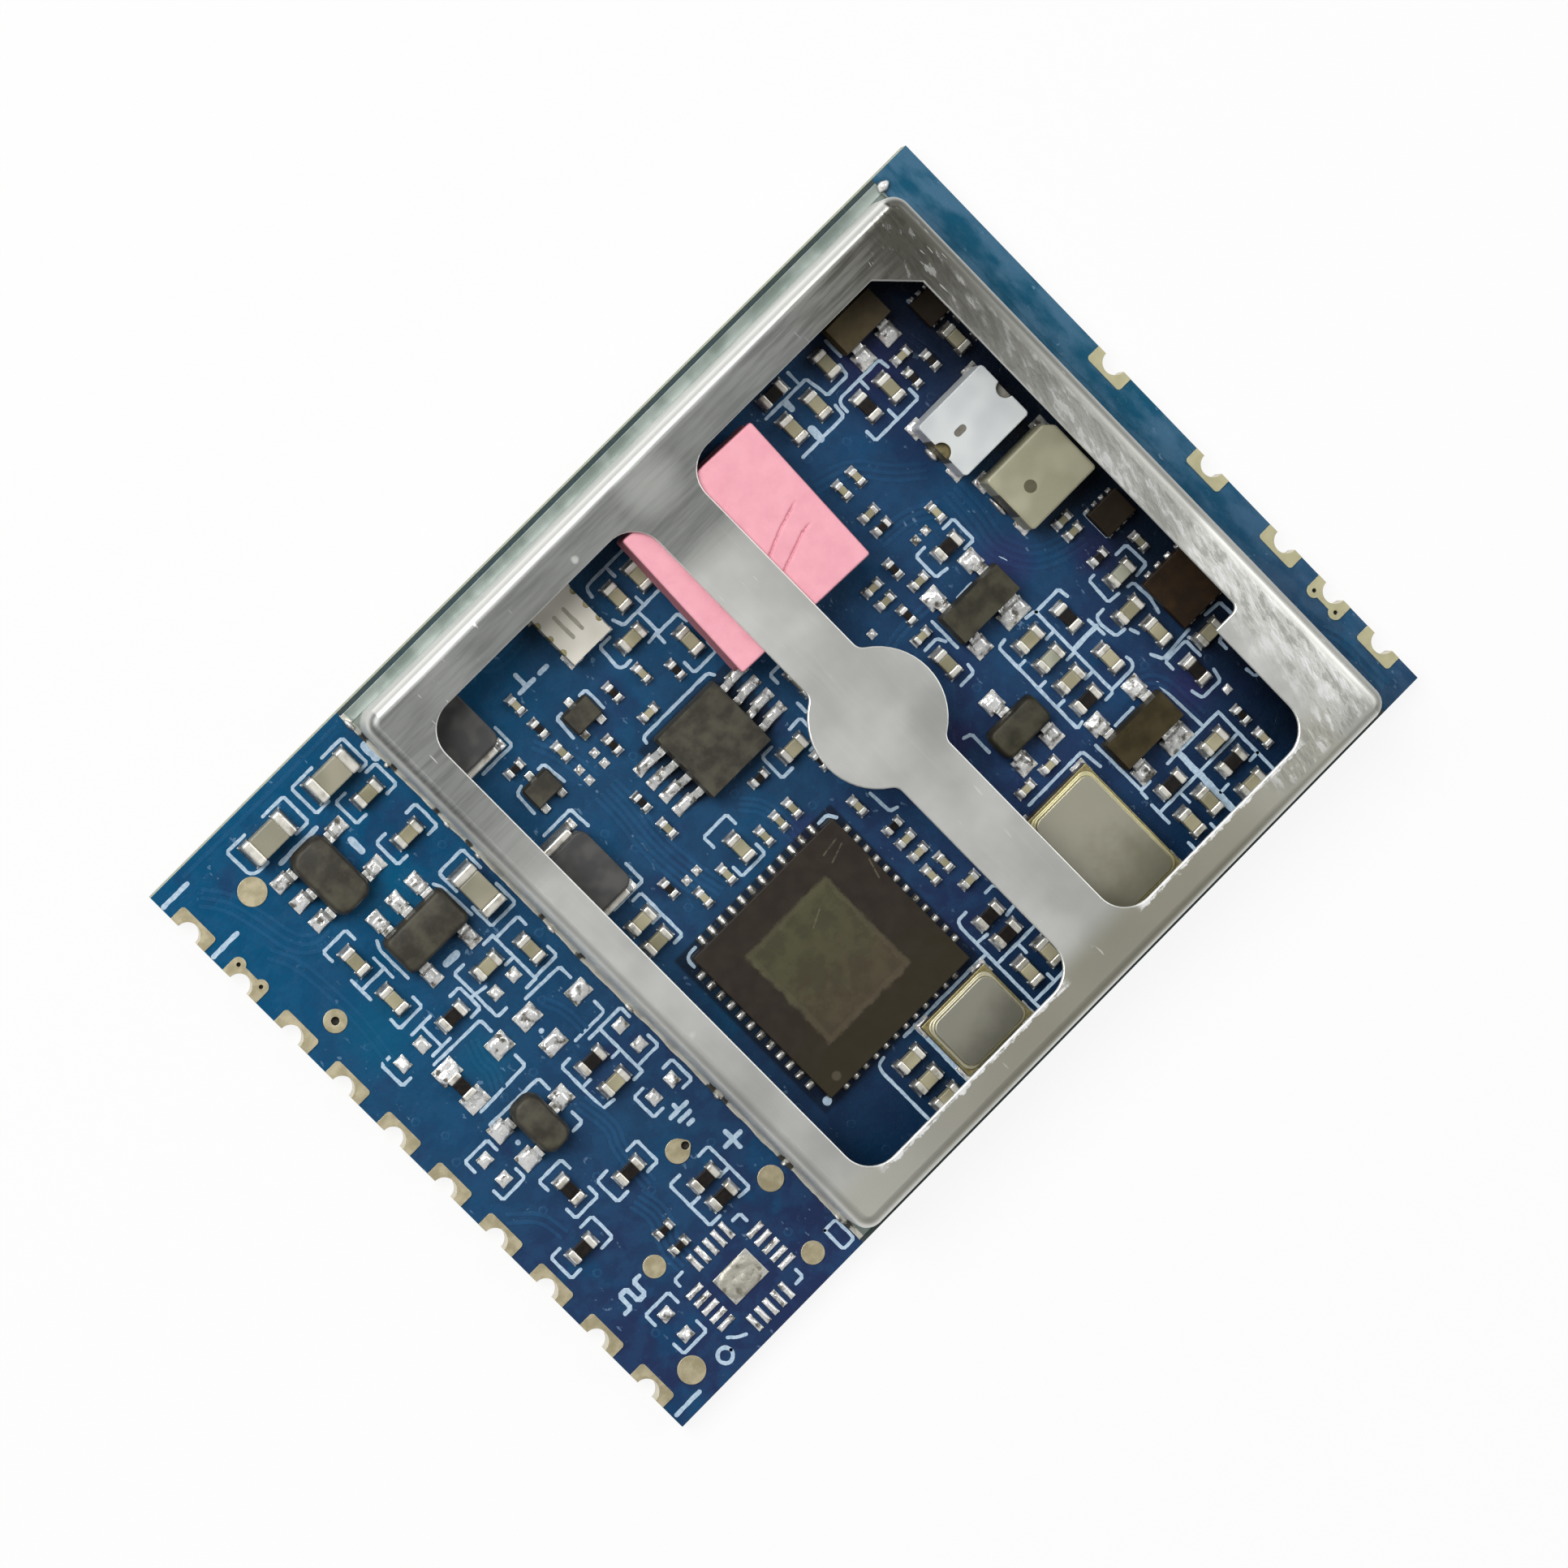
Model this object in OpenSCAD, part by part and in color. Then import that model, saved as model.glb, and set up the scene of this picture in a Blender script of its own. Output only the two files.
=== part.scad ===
// Video receiver module: a circuit board with edge contacts, a soldered shield frame
// and surface-mounted parts. Millimetres, +Z up, origin under the middle of the board,
// +X towards the rear edge, the bare strip with the power parts at the -X end.

/* [Board] */
// Thickness of the circuit board
board_t = 1.0; // [0.6:0.1:1.6]
// Length of the bare strip in front of the shield
strip_l = 9.25; // [9:0.05:12]
// Board left clear behind the shield
rear_margin = 1.85; // [1.5:0.05:3]
// Board left clear beside the shield, on each side
side_margin = 0.6; // [0.5:0.05:1.5]
// Thickness of tinned lands and gold pads on the board
land_t = 0.06; // [0.04:0.01:0.1]
// How far a land reaches past the end of its terminal
land_out = 0.12; // [0.08:0.01:0.16]
// How far a land reaches past the side of its terminal
land_side_w = 0.04; // [0.02:0.01:0.08]
// How far a land reaches past the toe of a bent lead
lead_land_out = 0.26; // [0.15:0.01:0.3]
// How far a land reaches past the side of a chip's bent lead
lead_land_side = 0.06; // [0.02:0.01:0.08]
// How far a land reaches past the side of a transistor's bent lead
wide_land_side = 0.14; // [0.06:0.01:0.16]
// Diameter of the drilled vias that are open
via_d = 0.3; // [0.2:0.05:0.4]

/* [Edge contacts] */
// Pitch of the contacts
contact_pitch = 2.54; // [2.4:0.01:2.6]
// Number of contacts on the front edge
contact_count = 10; // [6:1:10]
// Diameter of the plated half hole
contact_hole_d = 0.9; // [0.7:0.05:1.1]
// Width of a contact pad along the edge
contact_pad_w = 1.65; // [1.5:0.05:2]
// Reach of a contact pad from the edge
contact_pad_l = 0.62; // [0.62:0.02:0.9]
// Rounding of a contact pad's inner corners
contact_pad_r = 0.14; // [0.1:0.02:0.4]
// Radius of the lobes on the two contacts that have vias of their own
lobe_r = 0.27; // [0.2:0.01:0.32]
// Distance of a lobe's middle behind the end of its pad
lobe_in = 0.1; // [0.05:0.01:0.2]
// Diameter of the via in a lobe
lobe_via_d = 0.16; // [0.1:0.02:0.2]
// Thickness of the plating in a half hole
barrel_t = 0.06; // [0.04:0.01:0.1]

/* [Shield frame] */
// Length of the shield along the board
shield_l = 26.4; // [26:0.1:32]
// Width of the shield across the board
shield_w = 25.3; // [25:0.1:30]
// Height of the shield above its ground strip
shield_h = 3.0; // [2.7:0.1:4.5]
// Thickness of the sheet
sheet_t = 0.2; // [0.15:0.01:0.3]
// Outer radius of the fold from the top to the walls
bend_r = 0.45; // [0.35:0.05:0.55]
// Outer radius of the upright corners
corner_r = 0.65; // [0.6:0.05:1]
// Width of the front leg of the frame
front_leg = 1.43; // [1:0.05:2]
// Width of the rear leg of the frame
rear_leg = 1.58; // [1:0.05:2]
// Width of the left leg of the frame, on the +Y side
left_leg = 1.68; // [1:0.05:1.8]
// Width of the right leg of the frame, on the -Y side
right_leg = 1.37; // [1:0.05:2]
// Rounding of the windows' corners
window_r = 1.2; // [0.6:0.1:1.6]
// Width of the strut between the windows
strut_w = 2.4; // [1.8:0.1:3]
// Shift of the strut from the middle of the shield
strut_shift = -0.2; // [-0.6:0.05:0.4]
// Diameter of the pick-up disc on the strut
disc_d = 5.0; // [4:0.1:6]
// Rounding where the disc runs into the strut
disc_fillet = 0.45; // [0.2:0.05:0.8]
// Extra width of the rear leg beside the right corner
step_l = 1.12; // [0.6:0.02:1.6]
// Length of that wider stretch, along the window
step_w = 4.96; // [3:0.02:7]
// Rounding where the rear leg steps in
step_r = 0.28; // [0.1:0.02:0.5]
// Cut across the rear left corner of the rear window
corner_cut = 1.3; // [0.8:0.1:1.8]
// Width of a mouse hole in the front wall, over a trace
notch_w = 0.5; // [0.3:0.05:0.8]
// Height of a mouse hole
notch_h = 0.6; // [0.3:0.05:1]
// Width of the tinned strip outside the side walls
ground_out = 0.42; // [0.3:0.02:0.45]

/* [Thermal pad] */
// Length of the pad, along X
pad_l = 6.15; // [5.2:0.05:6.6]
// Width of the pad, along Y
pad_w = 6.25; // [5.2:0.05:6.6]
// Turn of the pad, as it is laid by hand
pad_turn = -2; // [-4:0.5:4]

/* [Flat chips] */
// Side of the decoder chip
decoder_s = 7.0; // [6.6:0.1:7.2]
// Height of the decoder chip
decoder_h = 0.85; // [0.6:0.05:1]
// Side of the tuner chip under the thermal pad
tuner_s = 5.0; // [4.4:0.1:5.1]
// Height of the tuner chip
tuner_h = 0.85; // [0.6:0.05:1]
// Pitch of the flat chips' contacts
flat_pitch = 0.5; // [0.48:0.01:0.52]
// Width of a flat chip's contact
flat_contact_w = 0.26; // [0.2:0.02:0.32]
// Length of a flat chip's contact, under the chip and outside it
flat_contact_l = 0.6; // [0.5:0.02:0.7]
// Part of that length outside the chip
flat_contact_out = 0.3; // [0.2:0.02:0.34]
// Height of the three small flat chips
tiny_chip_h = 0.55; // [0.4:0.05:0.8]
// Pitch of the contacts of the two smallest flat chips
tiny_pitch = 0.35; // [0.3:0.01:0.4]
// Width of their contacts
tiny_contact_w = 0.2; // [0.14:0.02:0.24]

/* [Leaded chips] */
// Sides of the eight-lead video amplifier
amp_s = 3.0; // [2.8:0.05:3.1]
// Height of the amplifier
amp_h = 1.0; // [0.8:0.05:1.2]
// Pitch of the amplifier's leads
amp_pitch = 0.65; // [0.6:0.01:0.7]
// Reach of the amplifier's leads from its body
amp_lead_l = 0.95; // [0.8:0.05:1]
// Length of a regulator
regulator_l = 2.9; // [2.7:0.05:3]
// Width of a regulator
regulator_w = 1.65; // [1.5:0.05:1.7]
// Length of a four-lead radio amplifier
quad_l = 2.9; // [2.7:0.05:3]
// Width of a four-lead radio amplifier
quad_w = 1.35; // [1.2:0.05:1.45]
// Length of a three-lead transistor
trio_l = 2.3; // [1.9:0.05:2.4]
// Width of a three-lead transistor
trio_w = 1.3; // [1.2:0.05:1.35]
// Height of regulators, amplifiers and transistors
leaded_h = 1.1; // [0.9:0.05:1.3]
// Reach of their leads from the body
lead_l = 0.62; // [0.58:0.02:0.7]
// Width of their leads
lead_w = 0.44; // [0.3:0.02:0.46]
// Thickness of all leads
lead_t = 0.14; // [0.1:0.01:0.16]
// Length of a lead's foot
lead_foot = 0.3; // [0.24:0.02:0.32]
// Flat stretch of a lead beside the body
lead_shoulder = 0.16; // [0.14:0.01:0.2]
// Slope of the moulded bodies, measured at the edge
draft = 0.08; // [0.02:0.01:0.14]
// Rounding of the moulded bodies' upright edges
mould_r = 0.16; // [0.08:0.01:0.24]
// Length of a detector chip
detector_l = 1.25; // [1.1:0.05:1.3]
// Width of a detector chip
detector_w = 0.95; // [0.8:0.05:1]
// Height of a detector chip
detector_h = 0.5; // [0.35:0.05:0.7]

/* [Filters and crystals] */
// Length of a band filter
filter_l = 3.2; // [3:0.1:3.3]
// Width of a band filter
filter_w = 2.45; // [2.2:0.05:2.6]
// Height of a band filter
filter_h = 1.7; // [1.2:0.1:1.9]
// Diameter of the solder grooves in its ends
filter_groove_d = 0.65; // [0.4:0.05:0.8]
// Rounding of a band filter's upright edges
filter_r = 0.15; // [0.05:0.05:0.3]
// Cut across the marked corner of the lower band filter
filter_cut = 0.35; // [0.2:0.05:0.6]
// Length of the oscillator
oscillator_l = 5.0; // [4.8:0.05:5.1]
// Width of the oscillator
oscillator_w = 3.2; // [3:0.05:3.3]
// Height of the oscillator's ceramic base
oscillator_base_h = 0.75; // [0.6:0.05:1]
// Length of the decoder's crystal
crystal_l = 3.2; // [3:0.05:3.3]
// Width of the decoder's crystal
crystal_w = 2.5; // [2.3:0.05:2.6]
// Height of the crystal's ceramic base
crystal_base_h = 0.5; // [0.35:0.05:0.7]
// Height of the metal lids
lid_h = 0.35; // [0.2:0.05:0.5]
// Rim of the base left bare around a lid
lid_rim = 0.08; // [0.04:0.02:0.2]
// Width of the flange around a lid
lid_flange_w = 0.12; // [0.06:0.02:0.2]
// Thickness of that flange
lid_flange_h = 0.1; // [0.05:0.01:0.15]
// Rounding of a lid's corners
lid_r = 0.4; // [0.2:0.05:0.6]
// Length of the aerial balun, along Y
balun_l = 2.5; // [2.2:0.05:2.6]
// Width of the balun
balun_w = 1.8; // [1.6:0.05:1.9]
// Height of the balun
balun_h = 0.9; // [0.6:0.05:1.1]
// Diameter of the plated grooves in the balun's long sides
balun_groove_d = 0.26; // [0.16:0.02:0.36]
// Pitch of these grooves
balun_pitch = 0.65; // [0.5:0.05:0.8]

/* [Two-terminal parts] */
// Length of a power inductor
choke_l = 3.2; // [3:0.05:3.3]
// Width of a power inductor
choke_w = 2.3; // [2.1:0.05:2.4]
// Height of a power inductor
choke_h = 1.2; // [0.9:0.05:1.6]
// Length of a power inductor's end plate
choke_band = 0.28; // [0.2:0.02:0.5]
// Height of its end plates
choke_plate_h = 0.85; // [0.6:0.05:0.9]
// Rounding of its upright edges
choke_r = 0.35; // [0.2:0.05:0.5]
// Length of a bulk capacitor
bulk_l = 1.8; // [1.6:0.05:1.9]
// Width of a bulk capacitor
bulk_w = 0.95; // [0.8:0.05:1]
// Height of a bulk capacitor
bulk_h = 0.9; // [0.7:0.05:1.1]
// Length of a bulk capacitor's end cap
bulk_band = 0.35; // [0.25:0.05:0.45]
// Length of a common chip part
chip_l = 1.0; // [0.9:0.02:1.04]
// Width of a common chip part
chip_w = 0.52; // [0.44:0.02:0.56]
// Height of a common chip capacitor or inductor
chip_h = 0.5; // [0.4:0.02:0.6]
// Height of a common chip resistor
resistor_h = 0.35; // [0.26:0.01:0.4]
// Length of a common part's end cap
chip_band = 0.24; // [0.18:0.02:0.3]
// Length of a small chip part
small_l = 0.6; // [0.56:0.02:0.62]
// Width of a small chip part
small_w = 0.3; // [0.26:0.02:0.34]
// Height of a small chip part
small_h = 0.28; // [0.2:0.02:0.34]
// Length of a small part's end cap
small_band = 0.16; // [0.12:0.01:0.2]
// Step from an end cap down to the body
cap_lip = 0.02; // [0.01:0.01:0.04]

/* [Hidden] */
$fn = 48;
// Overshoot of a cutting tool past the face it opens
cut = 1;

board_l = strip_l + shield_l + rear_margin;
board_w = shield_w + 2 * side_margin;
front_x = -board_l / 2;
shield_x = front_x + strip_l + shield_l / 2;
// Parts stand on their lands, the shield on its ground strip
seat_z = board_t + land_t;
shield_under = shield_h - sheet_t;
contact_r = contact_hole_d / 2;
// Contacts in steps of the pitch from the middle of their edge, and the one with lobes
front_steps = [for (i = [0:contact_count - 1]) i - (contact_count - 1) / 2];
rear_steps = [1, -1, -2.5, -3.5, -4.5];
front_lobed = front_steps[contact_count - 2];
rear_lobed = rear_steps[3];

// Windows of the shield, seen from the middle of the shield
window_x0 = -shield_l / 2 + front_leg;
window_x1 = shield_l / 2 - rear_leg;
window_y0 = -shield_w / 2 + right_leg;
window_y1 = shield_w / 2 - left_leg;
strut_x0 = strut_shift - strut_w / 2;
strut_x1 = strut_shift + strut_w / 2;
// Middle of a rounding between disc and strut, seen from the middle of the disc
fillet_x = strut_w / 2 + disc_fillet;
fillet_y = sqrt(pow(disc_d / 2 + disc_fillet, 2) - pow(fillet_x, 2));
// Mouse holes along the front wall
notch_places = [11.6, -5.75, -9.25];
// Tinned strip outside the end walls and inside all walls
ground_end = 0.12;
ground_in = 0.3;

// Lead height on a leaded body, measured from the seat
lead_z = 0.45;
amp_lead_z = 0.4;
amp_lead_w = 0.3;
amp_foot = 0.45;
body_gap = 0.08;
// Lands of ceramic parts, and the part of a small flat chip's land that lies under it
corner_land = [0.6, 0.6];
tiny_land_in = 0.25;
// Flat tabs of the detector chips, and the height of their bodies' widest line
detector_tab = [0.3, 0.28, 0.12];
detector_z = 0.1;

// The placement lists are drawn for zones of these sizes, and spread with the zones
strip_plan = [9.25, 26.5];
shield_plan = [26.4, 25.3];
function on_strip(p) = [front_x + p.x * strip_l / strip_plan.x, p.y * board_w / strip_plan.y, seat_z];
function in_shield(p) =
    [shield_x + p.x * shield_l / shield_plan.x, p.y * shield_w / shield_plan.y, seat_z];

// Places on the strip: distance from the front edge, distance from the middle line, turn
regulator_upper_at = [4.95, 9.45, 270];
regulator_lower_at = [5.95, 5.72, 180];
strip_transistor_at = [4.02, -1.9, 90];
bulk_places = [[4.35, 11.85, 0], [7.45, 11.85, 0], [8.25, 5.4, 90]];
strip_capacitor_places = [
    [7.9, 10.5, 0], [7.9, 8.5, 0], [3.45, 6.65, 90], [3.45, 4.75, 90],
    [6.6, 3.25, 0], [8.1, 2.6, 90], [6.9, -2.85, 0]
];
strip_resistor_places = [
    [4.5, 2.85, 0], [6.85, -1.75, 0], [3.1, -4.4, 90],
    [5.05, -5.45, 0], [1.95, -6.2, 0], [6.75, -7.55, 0], [6.75, -8.45, 0]
];
// A resistor across the wide lands of a larger part: place, distance and size of the lands
bridge_at = [3.0, 0.9, 90];
bridge_spread = 1.38;
bridge_land = [0.72, 0.9];
strip_small_places = [[4.45, -7.8, 0], [4.45, -8.6, 0]];
// Lands of the strip that carry no part: place and size
bare_strip_lands = [
    [2.1, 2.9, 0.45, 0.55], [3.05, 2.9, 0.45, 0.55], [6.15, 2.35, 0.45, 0.45], [7.05, 2.35, 0.45, 0.45],
    [4.95, 0.95, 0.85, 0.75], [6.35, 0.95, 0.9, 0.7], [6.35, -0.35, 0.9, 0.65], [8.25, 0.3, 0.85, 0.65],
    [1.75, -1.55, 0.5, 0.45], [1.75, -2.5, 0.5, 0.45], [8.45, -1.6, 0.5, 0.45], [8.45, -2.55, 0.5, 0.45],
    [7.5, -4.25, 0.45, 0.5], [8.4, -4.25, 0.45, 0.5], [2.4, -10, 0.5, 0.45], [2.4, -11, 0.5, 0.45]
];
// Empty square footprint: place, number a side, pitch, spread of the rows, size of a land
spare_at = [5.2, -10.95];
spare_count = 5;
spare_pitch = 0.4;
spare_row = 1.52;
spare_land = [0.22, 0.7];
spare_middle = [1.65, 1.2];
// Gold test pads: place and radius
test_places = [
    [2.65, 10.9, 0.53], [1.5, 5.65, 0.43], [6.75, -6.2, 0.45], [3.3, -8.5, 0.42],
    [8.4, -9.25, 0.48], [1.65, -12.05, 0.52], [7.6, -12.2, 0.43]
];
// Open vias on the strip, and the gold around the second, which runs on from a test pad
via_places = [[1.5, 5.65], [7.08, -6.25]];
tail_from = test_places[2];
tail_to = via_places[1];
tail_r = 0.2;

// Places in the shield: distances from its middle, turn
tuner_at = [0.7, 7.45];
decoder_at = [-7.1, -5.15];
video_amp_at = [-4.65, 3.3, 90];
first_amp_at = [5.45, 0, 180];
second_amp_at = [6.5, -7.35, 180];
switch_at = [3.4, -4.1, 180];
corner_at = [9.3, 10.15, 0];
detector_places = [[-7.3, 7.15, 0], [-10.1, 6.3, 0]];
upper_filter_at = [9.7, 4.85, 0];
lower_filter_at = [10.1, 1.8, 0];
oscillator_at = [2.6, -9.2, 90];
crystal_at = [-4.95, -10.45, 0];
balun_at = [-5.4, 9.85, 90];
choke_places = [[-11.1, 9.95, 90], [-11.3, 3.15, 90]];
// Small flat chips: place and size
antenna_switch_at = [11.7, 8.65];
antenna_switch_s = [1.2, 1.1];
mixer_at = [11.15, -1.1];
mixer_s = [1.4, 1.1];
divider_at = [11.35, -4.8];
divider_s = [2.4, 2.2];
shielded_capacitor_places = [
    [-3.5, 9.2, 90], [-2.45, 9.2, 90], [-4.15, 7.8, 0], [-2.75, 6.3, 90], [-2.8, 1.0, 0],
    [-6.6, -0.15, 90], [-10.9, 0.5, 0], [-11, -0.4, 0], [-0.95, 2.5, 90], [-2.4, -10.6, 90],
    [-1.4, -10.6, 90], [-7.6, -9.8, 0], [-7.65, -10.75, 0], [-7.6, -11.7, 0],
    [5.1, 9, 90], [6.3, 9, 90], [7.55, 9.8, 90], [8.6, 7.6, 90], [11.5, 7.2, 90], [12.3, 7.2, 90],
    [3.2, -0.75, 90], [5.9, -2.25, 0], [5.95, -4.3, 0], [7.5, -4.75, 90], [9.2, -4.05, 0],
    [9.4, -5.3, 90], [10.7, -6.65, 0], [11.3, -8.2, 90], [8.1, -9.55, 0], [5.5, -11, 90],
    [6.5, -10.9, 90], [8.05, -11.6, 0]
];
shielded_resistor_places = [
    [5.45, 10.35, 0], [7.55, 7.7, 90], [6.15, 2.15, 0], [5.9, -5.25, 0], [7.45, -2.65, 90],
    [9.45, -7.3, 90], [5.95, -9.55, 0], [8.1, -10.55, 0], [-2, -8.2, 0], [-2, -9.1, 0]
];
inductor_places = [[5.95, -3.25, 0], [9.9, -2.9, 0]];
small_capacitor_places = [
    [-8.7, 9, 90], [-8.7, 6.7, 90], [-4.75, 6.65, 90], [-5.55, 5.5, 0], [-7.95, 2.15, 90],
    [-8.75, -0.5, 90], [-7.6, -0.5, 90], [-5.7, -0.5, 90], [-4.95, -0.5, 90], [-4.3, -0.5, 90],
    [-2.2, -4.15, 0], [-2.2, -4.8, 0], [-2.45, -5.7, 90], [-1.8, -5.7, 90], [-1.6, -6.8, 0],
    [-2.6, -2.1, 90], [9.7, 8.1, 0], [4.85, 6.2, 90], [5.55, 6.2, 90], [4.95, 4.95, 0],
    [6.7, 3.3, 90], [3.2, 3, 0], [3.2, 2.35, 0], [4.55, 2, 0], [3.25, 0.55, 0],
    [9.75, -0.1, 0], [9.75, -0.65, 0], [11.2, -2.6, 90], [2.1, -5.95, 0], [3.3, -5.95, 0],
    [9.5, -10.75, 90]
];
small_resistor_places = [
    [-8.7, 7.85, 90], [-10.3, 7.45, 0], [-5.95, 6.9, 90], [-3.8, 5.9, 90], [-7.95, 3.45, 90],
    [-4.4, 1.1, 0], [-2.4, 0, 90], [-2.2, -3.5, 0], [9.45, 7.25, 90], [10.35, 7.25, 90],
    [-7.25, 5.6, 90], [-9.4, 0.6, 90],
    [4.95, 4.3, 0], [4.2, 2.95, 90], [3.4, 1.45, 90], [9.75, -1.95, 0], [9.5, -9.6, 90]
];
// Small square lands that carry no part, and their side
bare_dots = [
    [-8.7, 5.3], [-8.7, 5.8], [-7.9, 5.35], [-7.9, 5.85], [-8.75, 0.35], [-8.25, 0.35],
    [5.5, 3.1], [6, 3.1], [2.05, 1.85], [9.8, -8.6]
];
bare_dot_s = 0.3;

// Leads of each leaded body: distance along the body, side of the body, width
regulator_pins = [
    [-0.95, -1, lead_w], [0, -1, lead_w], [0.95, -1, lead_w], [-0.95, 1, lead_w], [0.95, 1, lead_w]
];
quad_pins = [[-0.95, -1, lead_w], [0.95, -1, lead_w], [0.95, 1, lead_w], [-0.75, 1, 2 * lead_w]];
trio_pins = [[-0.7, 1, lead_w], [0.7, 1, lead_w], [0, -1, lead_w]];
corner_pins = [[-0.62, -1, lead_w], [0.62, -1, lead_w], [0, 1, lead_w]];
amp_pins = [for (side = [-1, 1], i = [-1.5:1.5]) [i * amp_pitch, side, amp_lead_w]];

// Sizes of the packages as one value each
chip_size = [chip_l, chip_w, chip_h];
resistor_size = [chip_l, chip_w, resistor_h];
small_size = [small_l, small_w, small_h];
bulk_size = [bulk_l, bulk_w, bulk_h];
choke_size = [choke_l, choke_w, choke_h];

// Moves children to each place of a list, with a zone's own rule for places
module strip_each(places) {
    for (p = places)
        translate(on_strip(p)) rotate(p.z) children();
}

module shield_each(places) {
    for (p = places)
        translate(in_shield(p)) rotate(p.z) children();
}

// A box standing on z, centred on the origin
module block(size, z = 0) {
    translate([-size.x / 2, -size.y / 2, z]) cube(size);
}

// A rectangle between two corners, with rounded corners
module rounded_window(x0, y0, x1, y1, r) {
    translate([x0 + r, y0]) square([x1 - x0 - 2 * r, y1 - y0]);
    translate([x0, y0 + r]) square([x1 - x0, y1 - y0 - 2 * r]);
    for (x = [x0 + r, x1 - r], y = [y0 + r, y1 - r])
        translate([x, y]) circle(r);
}

// Body of a two-terminal part, between its end caps
module part_body(size, band) {
    block([size.x - 2 * band, size.y - 2 * cap_lip, size.z - 2 * cap_lip], cap_lip);
}

// End caps of a two-terminal part
module part_caps(size, band) {
    for (side = [-1, 1])
        translate([side * (size.x - band) / 2, 0, 0]) block([band, size.y, size.z]);
}

// Lands under a two-terminal part, below its seat
module part_lands(size, band) {
    for (side = [-1, 1])
        translate([side * (size.x - band + land_out) / 2, 0, 0])
            block([band + land_out, size.y + 2 * land_side_w, land_t], -land_t);
}

// Section of a moulded body: upright where the leads leave it, sloped above and below
function moulded(w, h, z) = [
    [-w / 2 + draft, body_gap], [w / 2 - draft, body_gap], [w / 2, z], [w / 2, z + lead_t],
    [w / 2 - draft, h], [-w / 2 + draft, h], [-w / 2, z + lead_t], [-w / 2, z]
];

// A moulded body, long side along X, leads along Y
module moulded_body(l, w, h, z) {
    intersection() {
        linear_extrude(h) rounded_window(-l / 2, -w / 2, l / 2, w / 2, mould_r);
        rotate([90, 0, 90]) linear_extrude(l, center = true) polygon(moulded(w, h, z));
        rotate([90, 0, 0]) linear_extrude(w, center = true) polygon(moulded(l, h, z));
    }
}

// Bent leads of a moulded body, from its side down to the seat
module bent_leads(pins, w, reach, foot, z) {
    heel = w / 2 + lead_shoulder;
    toe = w / 2 + reach;
    section = [
        [w / 2, z], [w / 2, z + lead_t], [heel, z + lead_t], [toe - foot, lead_t],
        [toe, lead_t], [toe, 0], [toe - foot - lead_t, 0], [heel - lead_t, z]
    ];
    for (pin = pins)
        translate([pin.x, 0, 0]) mirror([0, pin.y < 0 ? 1 : 0, 0])
            rotate([90, 0, 90]) linear_extrude(pin.z, center = true) polygon(section);
}

// Lands under bent leads
module lead_lands(pins, w, reach, foot, side_w) {
    l = foot + lead_t + lead_land_out;
    for (pin = pins)
        translate([pin.x, pin.y * (w / 2 + reach + lead_land_out - l / 2), 0])
            block([pin.z + 2 * side_w, l, land_t], -land_t);
}

// Contacts around a flat square chip, lying on the board under its edges
module flat_contacts(side, count) {
    for (turn = [0:90:270], i = [0:count - 1])
        rotate(turn) translate([
            (i - (count - 1) / 2) * flat_pitch,
            side / 2 + flat_contact_out - flat_contact_l / 2,
            -land_t
        ]) block([flat_contact_w, flat_contact_l, land_t]);
}

// Two rows of lands under a small flat chip
module row_lands(size, count, pitch, w) {
    l = tiny_land_in + land_out;
    for (side = [-1, 1], i = [0:count - 1])
        translate([(i - (count - 1) / 2) * pitch, side * (size.y / 2 + land_out - l / 2), 0])
            block([w, l, land_t], -land_t);
}

// Lands under the four corners of a ceramic part
module corner_lands(l, w) {
    for (x = [-1, 1], y = [-1, 1])
        translate([
            x * (l / 2 + land_out - corner_land.x / 2), y * (w / 2 + land_out - corner_land.y / 2), 0
        ]) block([corner_land.x, corner_land.y, land_t], -land_t);
}

// Outline of an edge contact's pad, with the edge of the board on the Y axis
module contact_outline() {
    straight_l = contact_pad_l - contact_pad_r;
    translate([0, -contact_pad_w / 2]) square([straight_l, contact_pad_w]);
    translate([0, -contact_pad_w / 2 + contact_pad_r])
        square([contact_pad_l, contact_pad_w - 2 * contact_pad_r]);
    for (side = [-1, 1])
        translate([straight_l, side * (contact_pad_w / 2 - contact_pad_r)]) circle(contact_pad_r);
}

// Moves children to the two lobes of a contact
module at_lobes() {
    for (side = [-1, 1])
        translate([contact_pad_l - lobe_in, side * (contact_pad_w / 2 - lobe_r), 0]) children();
}

module lobe_vias() {
    at_lobes() translate([0, 0, -cut]) cylinder(d = lobe_via_d, h = board_t + land_t + 2 * cut);
}

// One plated half hole: upper pad, barrel, and lower pad let into the underside
module edge_contact(lobed = false) {
    difference() {
        union() {
            for (z = [0, board_t])
                translate([0, 0, z]) linear_extrude(land_t) contact_outline();
            if (lobed) translate([0, 0, board_t]) at_lobes() cylinder(r = lobe_r, h = land_t);
            intersection() {
                cylinder(r = contact_r + barrel_t, h = board_t);
                translate([0, -contact_pad_w / 2, 0]) cube([contact_pad_l, contact_pad_w, board_t]);
            }
        }
        translate([0, 0, -cut]) cylinder(r = contact_r, h = board_t + 2 * cut);
        if (lobed) lobe_vias();
    }
}

// Room for an edge contact in the board
module contact_room() {
    translate([0, 0, -cut]) cylinder(r = contact_r + barrel_t, h = board_t + 2 * cut);
    translate([0, 0, -cut]) linear_extrude(cut + land_t) contact_outline();
}

module at_front_contacts(steps = front_steps) {
    for (step = steps)
        translate([front_x, step * contact_pitch, 0]) children();
}

module at_rear_contacts(steps = rear_steps) {
    for (step = steps)
        translate([-front_x, step * contact_pitch, 0]) mirror([1, 0, 0]) children();
}

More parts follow.
